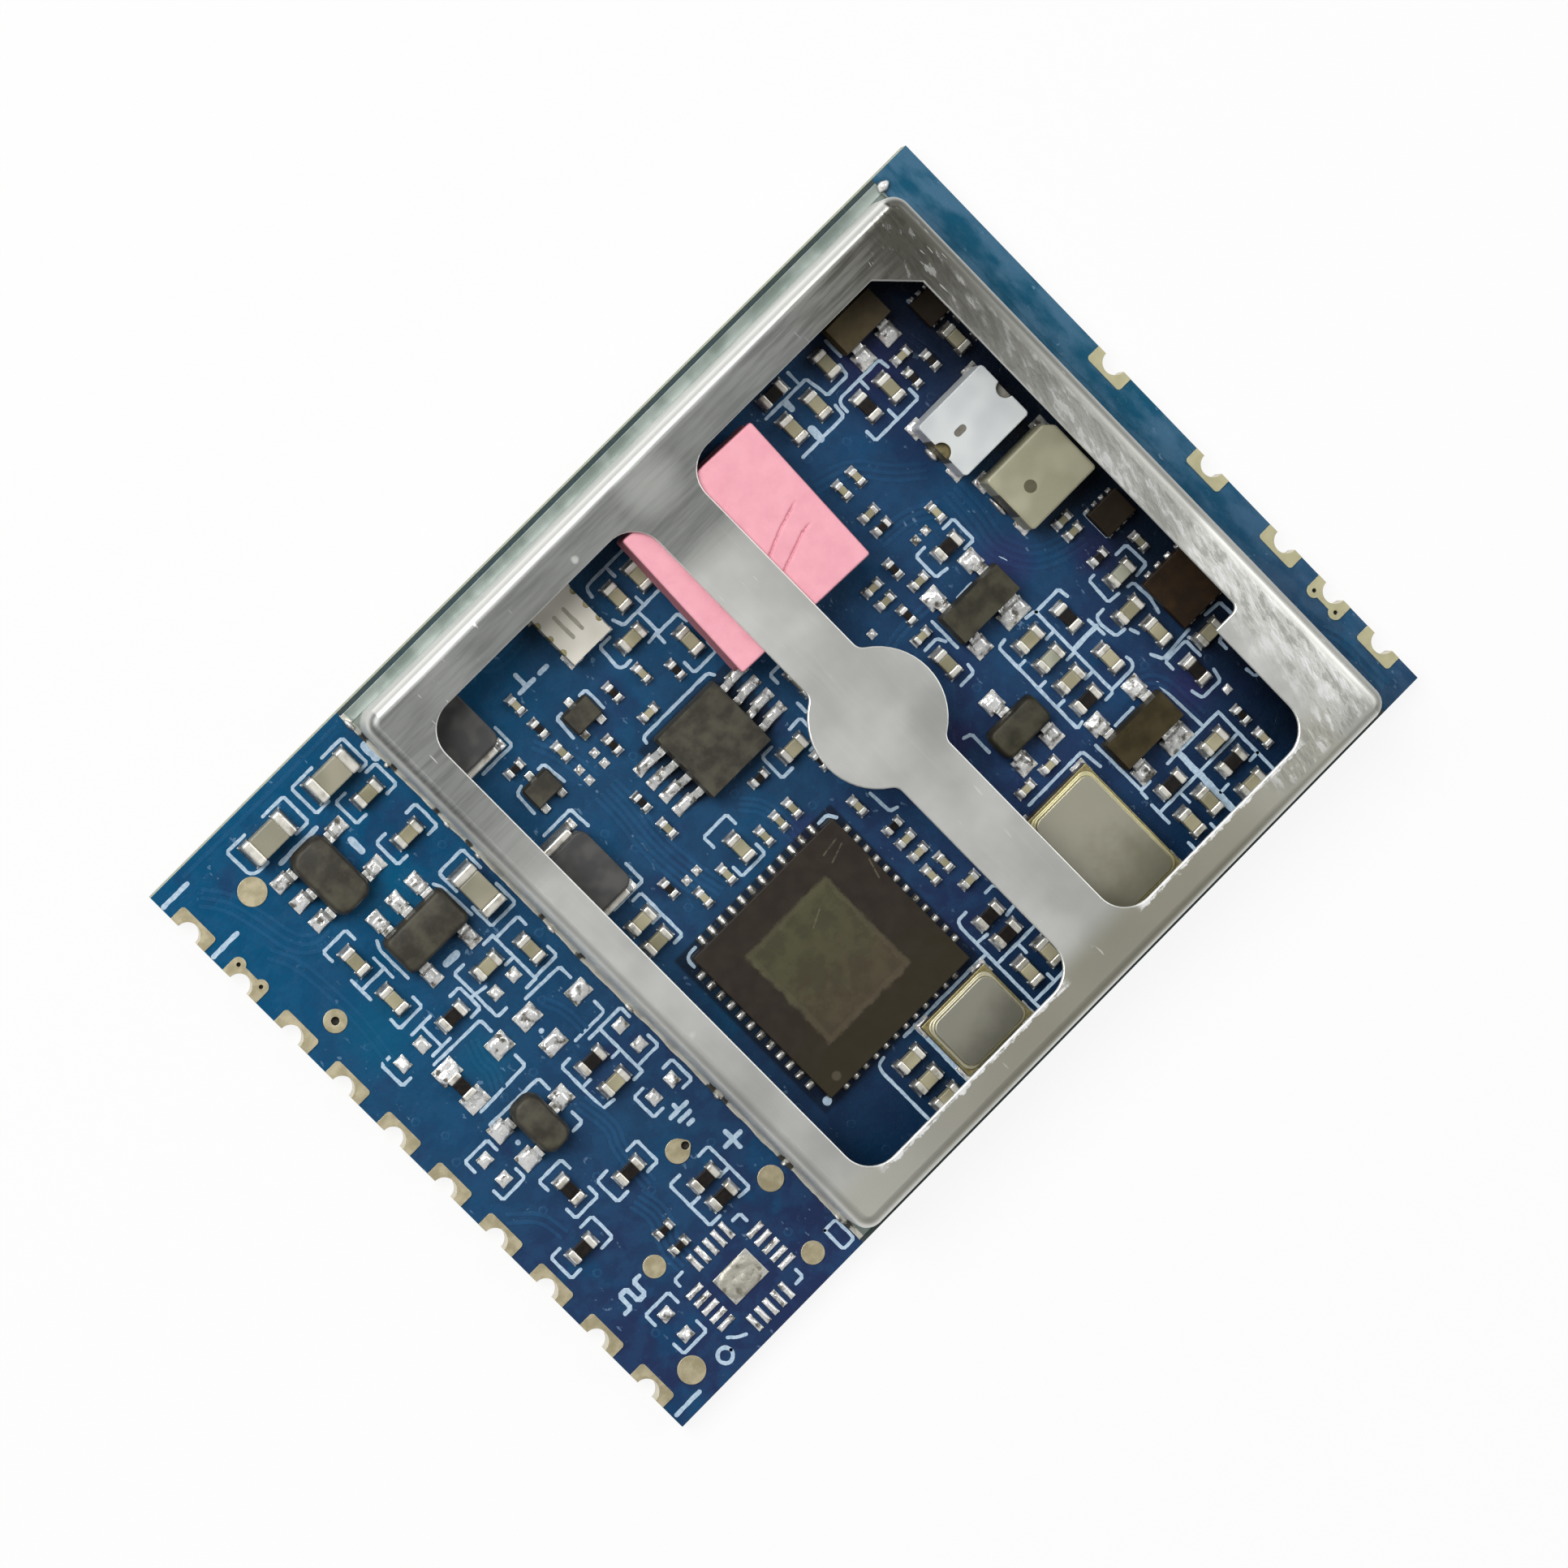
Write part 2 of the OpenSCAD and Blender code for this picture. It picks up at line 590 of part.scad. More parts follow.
module via_holes() {
    for (p = via_places)
        translate([on_strip(p).x, on_strip(p).y, -cut]) cylinder(d = via_d, h = board_t + land_t + 2 * cut);
}

module circuit_board() {
    color("#12467a") difference() {
        block([board_l, board_w, board_t]);
        at_front_contacts() contact_room();
        at_rear_contacts() contact_room();
        at_front_contacts([front_lobed]) lobe_vias();
        at_rear_contacts([rear_lobed]) lobe_vias();
        via_holes();
    }
}

module front_contacts() {
    color("#c9b98c") {
        at_front_contacts([for (step = front_steps) if (step != front_lobed) step]) edge_contact();
        at_front_contacts([front_lobed]) edge_contact(true);
    }
}

module rear_contacts() {
    color("#c9b98c") {
        at_rear_contacts([for (step = rear_steps) if (step != rear_lobed) step]) edge_contact();
        at_rear_contacts([rear_lobed]) edge_contact(true);
    }
}

// Gold that runs on from a test pad to its via, tangent to both
module pad_tail() {
    way = on_strip(tail_to) - on_strip(tail_from);
    side = acos((tail_from.z - tail_r) / norm(way));
    rim = [for (a = [side, -side]) [cos(a), sin(a)]];
    translate(on_strip(tail_from)) translate([0, 0, -land_t]) rotate(atan2(way.y, way.x)) {
        translate([norm(way), 0, 0]) cylinder(r = tail_r, h = land_t);
        linear_extrude(land_t) polygon([
            tail_from.z * rim[0], tail_from.z * rim[1],
            [norm(way), 0] + tail_r * rim[1], [norm(way), 0] + tail_r * rim[0]
        ]);
    }
}

module test_pads() {
    color("#bdae88") difference() {
        union() {
            for (p = test_places)
                translate(on_strip(p)) translate([0, 0, -land_t]) cylinder(r = p.z, h = land_t);
            pad_tail();
        }
        via_holes();
    }
}

// Tinned ring that the shield's walls are soldered to
module ground_strip() {
    outer = [shield_l + 2 * ground_end, shield_w + 2 * ground_out, land_t];
    inner = [shield_l - 2 * (sheet_t + ground_in), shield_w - 2 * (sheet_t + ground_in), land_t + 2 * cut];
    color("#aeb2aa") translate([shield_x, 0, board_t]) difference() {
        block(outer);
        block(inner, -cut);
    }
}

module strip_lands() {
    color("#c8ccd0") {
        strip_each(bulk_places) part_lands(bulk_size, bulk_band);
        strip_each(strip_capacitor_places) part_lands(chip_size, chip_band);
        strip_each(strip_resistor_places) part_lands(resistor_size, chip_band);
        strip_each(strip_small_places) part_lands(small_size, small_band);
        strip_each([bridge_at]) for (side = [-1, 1])
            translate([side * bridge_spread / 2, 0, 0])
                block([bridge_land.x, bridge_land.y, land_t], -land_t);
        strip_each([regulator_upper_at, regulator_lower_at])
            lead_lands(regulator_pins, regulator_w, lead_l, lead_foot, lead_land_side);
        strip_each([strip_transistor_at])
            lead_lands(trio_pins, trio_w, lead_l, lead_foot, wide_land_side);
        for (p = bare_strip_lands)
            translate(on_strip(p)) block([p[2], p[3], land_t], -land_t);
        translate(on_strip(spare_at)) {
            block([spare_middle.x, spare_middle.y, land_t], -land_t);
            for (turn = [0:90:270], i = [0:spare_count - 1])
                rotate(turn) translate([(i - (spare_count - 1) / 2) * spare_pitch, spare_row, 0])
                    block([spare_land.x, spare_land.y, land_t], -land_t);
        }
    }
}

module shielded_lands() {
    color("#c8ccd0") {
        shield_each(shielded_capacitor_places) part_lands(chip_size, chip_band);
        shield_each(shielded_resistor_places) part_lands(resistor_size, chip_band);
        shield_each(inductor_places) part_lands(chip_size, chip_band);
        shield_each(small_capacitor_places) part_lands(small_size, small_band);
        shield_each(small_resistor_places) part_lands(small_size, small_band);
        shield_each(choke_places) part_lands(choke_size, choke_band);
        shield_each([first_amp_at, second_amp_at])
            lead_lands(quad_pins, quad_w, lead_l, lead_foot, wide_land_side);
        shield_each([switch_at]) lead_lands(trio_pins, trio_w, lead_l, lead_foot, wide_land_side);
        shield_each([corner_at]) lead_lands(corner_pins, trio_w, lead_l, lead_foot, wide_land_side);
        shield_each([video_amp_at]) lead_lands(amp_pins, amp_s, amp_lead_l, amp_foot, lead_land_side);
        shield_each([upper_filter_at, lower_filter_at]) corner_lands(filter_l, filter_w);
        shield_each([oscillator_at]) corner_lands(oscillator_l, oscillator_w);
        shield_each([crystal_at]) corner_lands(crystal_l, crystal_w);
        shield_each([balun_at]) corner_lands(balun_l, balun_w);
        translate(in_shield(antenna_switch_at)) row_lands(antenna_switch_s, 3, tiny_pitch, tiny_contact_w);
        translate(in_shield(mixer_at)) row_lands(mixer_s, 4, tiny_pitch, tiny_contact_w);
        translate(in_shield(divider_at)) row_lands(divider_s, 4, flat_pitch, flat_contact_w);
        for (p = bare_dots)
            translate(in_shield(p)) block([bare_dot_s, bare_dot_s, land_t], -land_t);
    }
}

// Section of the shield across one pair of walls, with rounded folds
module folded_section(w, h, r) {
    translate([-w / 2, 0]) square([w, h - r]);
    translate([-w / 2 + r, 0]) square([w - 2 * r, h]);
    for (side = [-1, 1])
        translate([side * (w / 2 - r), h - r]) circle(r);
}

// A box with rounded upright corners and rounded upper edges
module formed_box(l, w, h, upright_r, fold_r) {
    rotate([90, 0, 90]) linear_extrude(l - 2 * upright_r, center = true) folded_section(w, h, fold_r);
    rotate([90, 0, 0]) linear_extrude(w - 2 * upright_r, center = true) folded_section(l, h, fold_r);
    for (x = [-1, 1], y = [-1, 1])
        translate([x * (l / 2 - upright_r), y * (w / 2 - upright_r), 0]) rotate_extrude() intersection() {
            folded_section(2 * upright_r, h, fold_r);
            square([upright_r, h]);
        }
}

// Sheet that fills the corner between the disc and one side of the strut, up to a rounding
module disc_rounding() {
    difference() {
        polygon([[0, 0], [fillet_x, fillet_y], [strut_w / 2, fillet_y], [0, fillet_y]]);
        translate([fillet_x, fillet_y]) circle(disc_fillet);
    }
}

// The two windows of the shield, with the pick-up disc left standing
module window_outlines() {
    difference() {
        union() {
            rounded_window(window_x0, window_y0, strut_x0, window_y1, window_r);
            rounded_window(strut_x1, window_y0, window_x1 - step_l, window_y1, window_r);
            difference() {
                rounded_window(strut_x1 + window_r, window_y0 + step_w, window_x1, window_y1, step_r);
                translate([window_x1, window_y1]) rotate(45)
                    square([corner_cut * sqrt(2), 2 * corner_cut], center = true);
            }
        }
        translate([strut_shift, 0]) {
            circle(d = disc_d);
            for (x = [0, 1], y = [0, 1])
                mirror([x, 0]) mirror([0, y]) disc_rounding();
        }
    }
}

module shield_frame() {
    color("#9a9a96") translate([shield_x, 0, seat_z]) difference() {
        formed_box(shield_l, shield_w, shield_h, corner_r, bend_r);
        translate([0, 0, -cut]) formed_box(
            shield_l - 2 * sheet_t, shield_w - 2 * sheet_t, shield_under + cut,
            corner_r - sheet_t, bend_r - sheet_t
        );
        translate([0, 0, shield_under - cut]) linear_extrude(sheet_t + 2 * cut) window_outlines();
        for (y = notch_places)
            translate([-shield_l / 2, y * shield_w / shield_plan.y, 0])
                block([2 * sheet_t + cut, notch_w, notch_h + cut], -cut);
    }
}

// Soft pad between the tuner chip and the strut
module thermal_pad() {
    color("#f4a9b8") translate(in_shield(tuner_at)) rotate(pad_turn)
        block([pad_l, pad_w, shield_under - tuner_h], tuner_h);
}

module tuner_chip() {
    color("#37322c") translate(in_shield(tuner_at)) block([tuner_s, tuner_s, tuner_h]);
}

module tuner_contacts() {
    color("#c8ccd0") translate(in_shield(tuner_at)) flat_contacts(tuner_s, 8);
}

module decoder_chip() {
    color("#37322c") translate(in_shield(decoder_at)) block([decoder_s, decoder_s, decoder_h]);
}

module decoder_contacts() {
    color("#c8ccd0") translate(in_shield(decoder_at)) flat_contacts(decoder_s, 12);
}

module video_amp() {
    color("#3a352e") shield_each([video_amp_at]) moulded_body(amp_s, amp_s, amp_h, amp_lead_z);
}

module video_amp_leads() {
    color("#d0d2d2") shield_each([video_amp_at])
        bent_leads(amp_pins, amp_s, amp_lead_l, amp_foot, amp_lead_z);
}

module regulator_body() {
    moulded_body(regulator_l, regulator_w, leaded_h, lead_z);
}

module regulator_leads() {
    bent_leads(regulator_pins, regulator_w, lead_l, lead_foot, lead_z);
}

module regulator_upper() {
    color("#3d3830") strip_each([regulator_upper_at]) regulator_body();
}

module regulator_upper_leads() {
    color("#d0d2d2") strip_each([regulator_upper_at]) regulator_leads();
}

module regulator_lower() {
    color("#3d3830") strip_each([regulator_lower_at]) regulator_body();
}

module regulator_lower_leads() {
    color("#d0d2d2") strip_each([regulator_lower_at]) regulator_leads();
}

module trio_body() {
    moulded_body(trio_l, trio_w, leaded_h, lead_z);
}

module strip_transistor() {
    color("#38332d") strip_each([strip_transistor_at]) trio_body();
}

module strip_transistor_leads() {
    color("#d0d2d2") strip_each([strip_transistor_at])
        bent_leads(trio_pins, trio_w, lead_l, lead_foot, lead_z);
}

module quad_body() {
    moulded_body(quad_l, quad_w, leaded_h, lead_z);
}

module quad_leads() {
    bent_leads(quad_pins, quad_w, lead_l, lead_foot, lead_z);
}

module first_radio_amp() {
    color("#3a342c") shield_each([first_amp_at]) quad_body();
}

module first_radio_amp_leads() {
    color("#d0d2d2") shield_each([first_amp_at]) quad_leads();
}

module second_radio_amp() {
    color("#4a3826") shield_each([second_amp_at]) quad_body();
}

module second_radio_amp_leads() {
    color("#d0d2d2") shield_each([second_amp_at]) quad_leads();
}

module switch_transistor() {
    color("#332e29") shield_each([switch_at]) trio_body();
}

module switch_transistor_leads() {
    color("#d0d2d2") shield_each([switch_at]) bent_leads(trio_pins, trio_w, lead_l, lead_foot, lead_z);
}

module corner_transistor() {
    color("#4a3826") shield_each([corner_at]) trio_body();
}

module corner_transistor_leads() {
    color("#d0d2d2") shield_each([corner_at]) bent_leads(corner_pins, trio_w, lead_l, lead_foot, lead_z);
}

module detector_chips() {
    color("#332e29") shield_each(detector_places)
        moulded_body(detector_l, detector_w, detector_h, detector_z);
}

// Flat tabs, one above and two below, on their own lands
module detector_leads() {
    color("#d0d2d2") shield_each(detector_places)
        for (tab = [[0, 1], [-0.4, -1], [0.4, -1]])
            translate([tab.x, tab.y * (detector_w + detector_tab.y) / 2, 0])
                block([detector_tab.x, detector_tab.y, detector_tab.z + land_t], -land_t);
}

module antenna_switch() {
    color("#2a2622") translate(in_shield(antenna_switch_at))
        block([antenna_switch_s.x, antenna_switch_s.y, tiny_chip_h]);
}

module mixer_chip() {
    color("#2a2622") translate(in_shield(mixer_at)) block([mixer_s.x, mixer_s.y, tiny_chip_h]);
}

module divider_chip() {
    color("#4a3826") translate(in_shield(divider_at)) block([divider_s.x, divider_s.y, tiny_chip_h]);
}

// Outline of a band filter
module filter_outline() {
    rounded_window(-filter_l / 2, -filter_w / 2, filter_l / 2, filter_w / 2, filter_r);
}

// Upper filter, with a solder groove in the middle of each end
module band_filter_upper() {
    color("#d9dde2") shield_each([upper_filter_at]) linear_extrude(filter_h) difference() {
        filter_outline();
        for (side = [-1, 1])
            translate([side * filter_l / 2, 0]) circle(d = filter_groove_d);
    }
}

// Lower filter, with one corner cut off as its mark
module band_filter_lower() {
    color("#a29d86") shield_each([lower_filter_at]) linear_extrude(filter_h) difference() {
        filter_outline();
        translate([filter_l / 2, filter_w / 2]) rotate(45)
            square([filter_cut * sqrt(2), 2 * filter_cut], center = true);
    }
}

// Outline of a lid, a rim inside its base
module lid_outline(l, w, rim) {
    rounded_window(-l / 2 + rim, -w / 2 + rim, l / 2 - rim, w / 2 - rim, lid_r);
}

// Metal lid of a crystal with its flange, standing on the base
module crystal_cover(l, w, z) {
    translate([0, 0, z]) {
        linear_extrude(lid_flange_h) lid_outline(l, w, lid_rim);
        linear_extrude(lid_h) lid_outline(l, w, lid_rim + lid_flange_w);
    }
}

module oscillator_base() {
    color("#57524a") shield_each([oscillator_at]) block([oscillator_l, oscillator_w, oscillator_base_h]);
}

module oscillator_lid() {
    color("#9b978a") shield_each([oscillator_at])
        crystal_cover(oscillator_l, oscillator_w, oscillator_base_h);
}

module crystal_base() {
    color("#57524a") shield_each([crystal_at]) block([crystal_l, crystal_w, crystal_base_h]);
}

module crystal_lid() {
    color("#9b978a") shield_each([crystal_at]) crystal_cover(crystal_l, crystal_w, crystal_base_h);
}

// Balun, with three plated grooves in each long side
module balun() {
    color("#b4ad98") shield_each([balun_at]) difference() {
        block([balun_l, balun_w, balun_h]);
        for (side = [-1, 1], i = [-1:1])
            translate([i * balun_pitch, side * balun_w / 2, -cut])
                cylinder(d = balun_groove_d, h = balun_h + 2 * cut);
    }
}

// Moulded bodies with rounded upright edges, between lower end plates
module power_inductors() {
    end_x = choke_l / 2 - choke_band;
    color("#4c484a") shield_each(choke_places) translate([0, 0, cap_lip])
        linear_extrude(choke_h - cap_lip)
            rounded_window(-end_x, -choke_w / 2, end_x, choke_w / 2, choke_r);
}

module power_inductor_caps() {
    color("#c4c6c4") shield_each(choke_places)
        part_caps([choke_l, choke_w - 2 * choke_r, choke_plate_h], choke_band);
}

module bulk_capacitors() {
    color("#8f8a72") strip_each(bulk_places) part_body(bulk_size, bulk_band);
}

module bulk_capacitor_caps() {
    color("#c9c5b4") strip_each(bulk_places) part_caps(bulk_size, bulk_band);
}

module strip_capacitors() {
    color("#a3967a") strip_each(strip_capacitor_places) part_body(chip_size, chip_band);
}

module strip_capacitor_caps() {
    color("#d4d0c0") strip_each(strip_capacitor_places) part_caps(chip_size, chip_band);
}

module shielded_capacitors() {
    color("#a3967a") shield_each(shielded_capacitor_places) part_body(chip_size, chip_band);
}

module shielded_capacitor_caps() {
    color("#d4d0c0") shield_each(shielded_capacitor_places) part_caps(chip_size, chip_band);
}

module strip_resistors() {
    color("#2b2724") {
        strip_each(concat(strip_resistor_places, [bridge_at])) part_body(resistor_size, chip_band);
        strip_each(strip_small_places) part_body(small_size, small_band);
    }
}

module strip_resistor_caps() {
    color("#d0d2d2") {
        strip_each(concat(strip_resistor_places, [bridge_at])) part_caps(resistor_size, chip_band);
        strip_each(strip_small_places) part_caps(small_size, small_band);
    }
}

module shielded_resistors() {
    color("#2b2724") shield_each(shielded_resistor_places) part_body(resistor_size, chip_band);
}

module shielded_resistor_caps() {
    color("#d0d2d2") shield_each(shielded_resistor_places) part_caps(resistor_size, chip_band);
}

module small_capacitors() {
    color("#8a7c66") shield_each(small_capacitor_places) part_body(small_size, small_band);
}

module small_capacitor_caps() {
    color("#d0d2d2") shield_each(small_capacitor_places) part_caps(small_size, small_band);
}

module small_resistors() {
    color("#2b2724") shield_each(small_resistor_places) part_body(small_size, small_band);
}

module small_resistor_caps() {
    color("#d0d2d2") shield_each(small_resistor_places) part_caps(small_size, small_band);
}

module chip_inductors() {
    color("#5f7060") shield_each(inductor_places) part_body(chip_size, chip_band);
}

module chip_inductor_caps() {
    color("#d0d2d2") shield_each(inductor_places) part_caps(chip_size, chip_band);
}

circuit_board();
front_contacts();
rear_contacts();
test_pads();
ground_strip();
strip_lands();
shielded_lands();
shield_frame();
thermal_pad();
tuner_chip();
tuner_contacts();
decoder_chip();
decoder_contacts();
video_amp();
video_amp_leads();
regulator_upper();
regulator_upper_leads();
regulator_lower();
regulator_lower_leads();
strip_transistor();
strip_transistor_leads();
first_radio_amp();
first_radio_amp_leads();
second_radio_amp();
second_radio_amp_leads();
switch_transistor();
switch_transistor_leads();
corner_transistor();
corner_transistor_leads();
detector_chips();
detector_leads();
antenna_switch();
mixer_chip();
divider_chip();
band_filter_upper();
band_filter_lower();
oscillator_base();
oscillator_lid();
crystal_base();
crystal_lid();
balun();
power_inductors();
power_inductor_caps();
bulk_capacitors();
bulk_capacitor_caps();
strip_capacitors();
strip_capacitor_caps();
shielded_capacitors();
shielded_capacitor_caps();
strip_resistors();
strip_resistor_caps();
shielded_resistors();
shielded_resistor_caps();
small_capacitors();
small_capacitor_caps();
small_resistors();
small_resistor_caps();
chip_inductors();
chip_inductor_caps();
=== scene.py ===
import math
import random

import bmesh
import bpy
import numpy as np
from mathutils import Matrix, Vector, noise


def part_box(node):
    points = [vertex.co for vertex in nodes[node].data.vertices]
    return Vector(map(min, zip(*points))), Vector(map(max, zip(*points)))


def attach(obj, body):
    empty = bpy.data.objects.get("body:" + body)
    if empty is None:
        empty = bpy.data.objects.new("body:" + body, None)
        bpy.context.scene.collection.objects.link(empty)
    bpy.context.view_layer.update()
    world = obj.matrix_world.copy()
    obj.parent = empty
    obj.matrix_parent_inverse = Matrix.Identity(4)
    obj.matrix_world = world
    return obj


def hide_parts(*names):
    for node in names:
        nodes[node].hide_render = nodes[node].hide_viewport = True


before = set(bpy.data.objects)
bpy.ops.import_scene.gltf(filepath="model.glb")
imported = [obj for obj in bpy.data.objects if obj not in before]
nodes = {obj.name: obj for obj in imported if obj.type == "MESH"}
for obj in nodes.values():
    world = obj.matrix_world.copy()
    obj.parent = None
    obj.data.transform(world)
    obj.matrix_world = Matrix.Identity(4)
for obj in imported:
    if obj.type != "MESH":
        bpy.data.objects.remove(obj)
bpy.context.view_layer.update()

mm = 0.001


def boxOf(node):
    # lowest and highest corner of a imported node, in mm
    return [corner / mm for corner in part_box(node)]


boardLow, boardHigh = boxOf("circuit_board")
shieldLow, shieldHigh = boxOf("shield_frame")
boardTop, landTop = boardHigh.z, boxOf("strip_lands")[1].z
# how deep a thin piece sits in what it lies on
sunk = 0.004
print("frame loaded:", len(nodes), "nodes")


# shader sums written as sums: a Link wraps one socket of a node tree
class Link:
    def __init__(self, tree, socket=None):
        self.tree = tree
        self.socket = socket

    def node(self, kind, settings=None, inputs=None, out=0):
        made = self.tree.nodes.new(kind)
        for name, value in (settings or {}).items():
            if name == "stops":
                setStops(made.color_ramp, value)
            else:
                setattr(made, name, value)
        for name, value in (inputs or {}).items():
            if isinstance(value, Link):
                self.tree.links.new(value.socket, made.inputs[name])
            else:
                made.inputs[name].default_value = value
        return Link(self.tree, made.outputs[out])

    def math(self, operation, first, second=0.0):
        return self.node("ShaderNodeMath", {"operation": operation}, {0: first, 1: second})

    def __add__(self, other):
        return self.math("ADD", self, other)

    def __sub__(self, other):
        return self.math("SUBTRACT", self, other)

    def __rsub__(self, other):
        return self.math("SUBTRACT", other, self)

    def __mul__(self, other):
        return self.math("MULTIPLY", self, other)

    def __truediv__(self, other):
        return self.math("DIVIDE", self, other)

    __radd__ = __add__
    __rmul__ = __mul__

    def size(self):
        return self.math("ABSOLUTE", self)

    def most(self, other):
        return self.math("MAXIMUM", self, other)

    def step(self, low, high):
        return self.node("ShaderNodeMapRange", {"interpolation_type": "SMOOTHSTEP"},
                         {"Value": self, "From Min": low, "From Max": high})

    def mix(self, first, second):
        return self.node("ShaderNodeMix", {"data_type": "RGBA"}, {0: self, 6: first, 7: second}, 2)

    def stretch(self, x, y, z):
        return self.node("ShaderNodeVectorMath", {"operation": "MULTIPLY"}, {0: self, 1: (x, y, z)})

    def grain(self, scale, detail=3.0, rough=0.55):
        return self.node("ShaderNodeTexNoise", {},
                         {"Vector": self, "Scale": scale, "Detail": detail, "Roughness": rough})

    def axis(self, name):
        return self.node("ShaderNodeSeparateXYZ", {}, {0: self}, name)

    def relief(self, strength, depth):
        return self.node("ShaderNodeBump", {},
                         {"Strength": strength, "Distance": depth * mm, "Height": self})


def setStops(ramp, stops):
    while len(ramp.elements) < len(stops):
        ramp.elements.new(0.5)
    for element, (position, tone) in zip(ramp.elements, stops):
        element.position = position
        element.color = tone


def colour(hexCode):
    # linear colour of a web code such as 0f4c80
    channels = [int(hexCode[i:i + 2], 16) / 255 for i in (0, 2, 4)]
    return tuple(c / 12.92 if c <= 0.04045 else ((c + 0.055) / 1.055) ** 2.4 for c in channels) + (1.0,)


def palette(**codes):
    return {name: colour(code) for name, code in codes.items()}


def newFinish(name):
    # a material, the place on the object in mm and the facing direction
    material = bpy.data.materials.new(name)
    material.use_nodes = True
    start = Link(material.node_tree)
    place = start.node("ShaderNodeTexCoord", out="Object").stretch(1 / mm, 1 / mm, 1 / mm)
    return material, place, start.node("ShaderNodeNewGeometry", out="Normal")


def setShader(material, values):
    shader = material.node_tree.nodes["Principled BSDF"]
    for name, value in values.items():
        if isinstance(value, Link):
            material.node_tree.links.new(value.socket, shader.inputs[name])
        else:
            shader.inputs[name].default_value = value
    return material


def window(value, low, high, soft):
    # 1 between low and high, falling off over soft
    return value.step(low - soft, low) * (1 - value.step(high, high + soft))


def apart(x, y, spotX, spotY):
    # square of the distance from a spot
    return (x - spotX) * (x - spotX) + (y - spotY) * (y - spotY)


# shade of the shield's walls on the board: where it starts, and how far from the wall it is full
shadeLook = {"soft": 0.2, "waver": 2.4, "sideFrom": 6.6, "sideFull": 1.2, "rearFrom": 11.4, "rearFull": 1.6}


def underShield(place):
    # how deep a spot of the board lies in the painted shade of the side wall, and of the rear wall
    look = shadeLook
    x, y = place.axis("X"), place.axis("Y")
    covered = (window(x, shieldLow.x, shieldHigh.x, look["soft"])
               * window(y, shieldLow.y, shieldHigh.y, look["soft"]))
    waver = place.grain(0.35, 2.0) * look["waver"] - look["waver"] / 2
    nearSide = covered * (waver - y).step(look["sideFrom"], shieldHigh.y - look["sideFull"])
    nearRear = covered * (x + waver).step(look["rearFrom"], shieldHigh.x - look["rearFull"])
    return nearSide, nearRear


# tones of the solder mask; purples and seas are spots: x, y, reach; the boxes of painted shade round the
# decoder and between the amplifier's leads are x0, y0, x1, y1, strength
maskLook = palette(
    teal="024f76", blue="214566", indigo="252c52", copper="2a5f88", deep="17345c", rimLine="424c48",
    sideShade="04243f", rearShade="040a14", behind="10526c", behindPale="47708a", corner="1d1c42",
    purple="30255a", sea="045a7c", flux="17171a", speck="7fa3c4", glassEdge="c9ccb6", glassLayer="9aa08a",
) | {
    "purples": [(10.9, 0.3, 1.4), (13.6, -1.7, 1.2), (5.4, -2.9, 0.9), (12.6, -7.6, 1.1),
                (12.7, 8.8, 1.8), (-0.9, -1.4, 0.9)],
    "seas": [(-16.6, 4.2, 1.8), (-12.6, 7.4, 1.5), (-14.6, 0.9, 1.3)],
    "fluxBoxes": [(-7.3, -9.0, 0.4, -1.42, 0.72), (-3.0, 2.1, 1.25, 4.75, 0.6)],
    "deepFrom": 4.5, "deepTo": 15.5, "cornerX": 11.6, "cornerY": 5.6,
    "rimFrom": boxOf("ground_strip")[1].y, "rimSoft": 0.02, "roughness": 0.21,
}


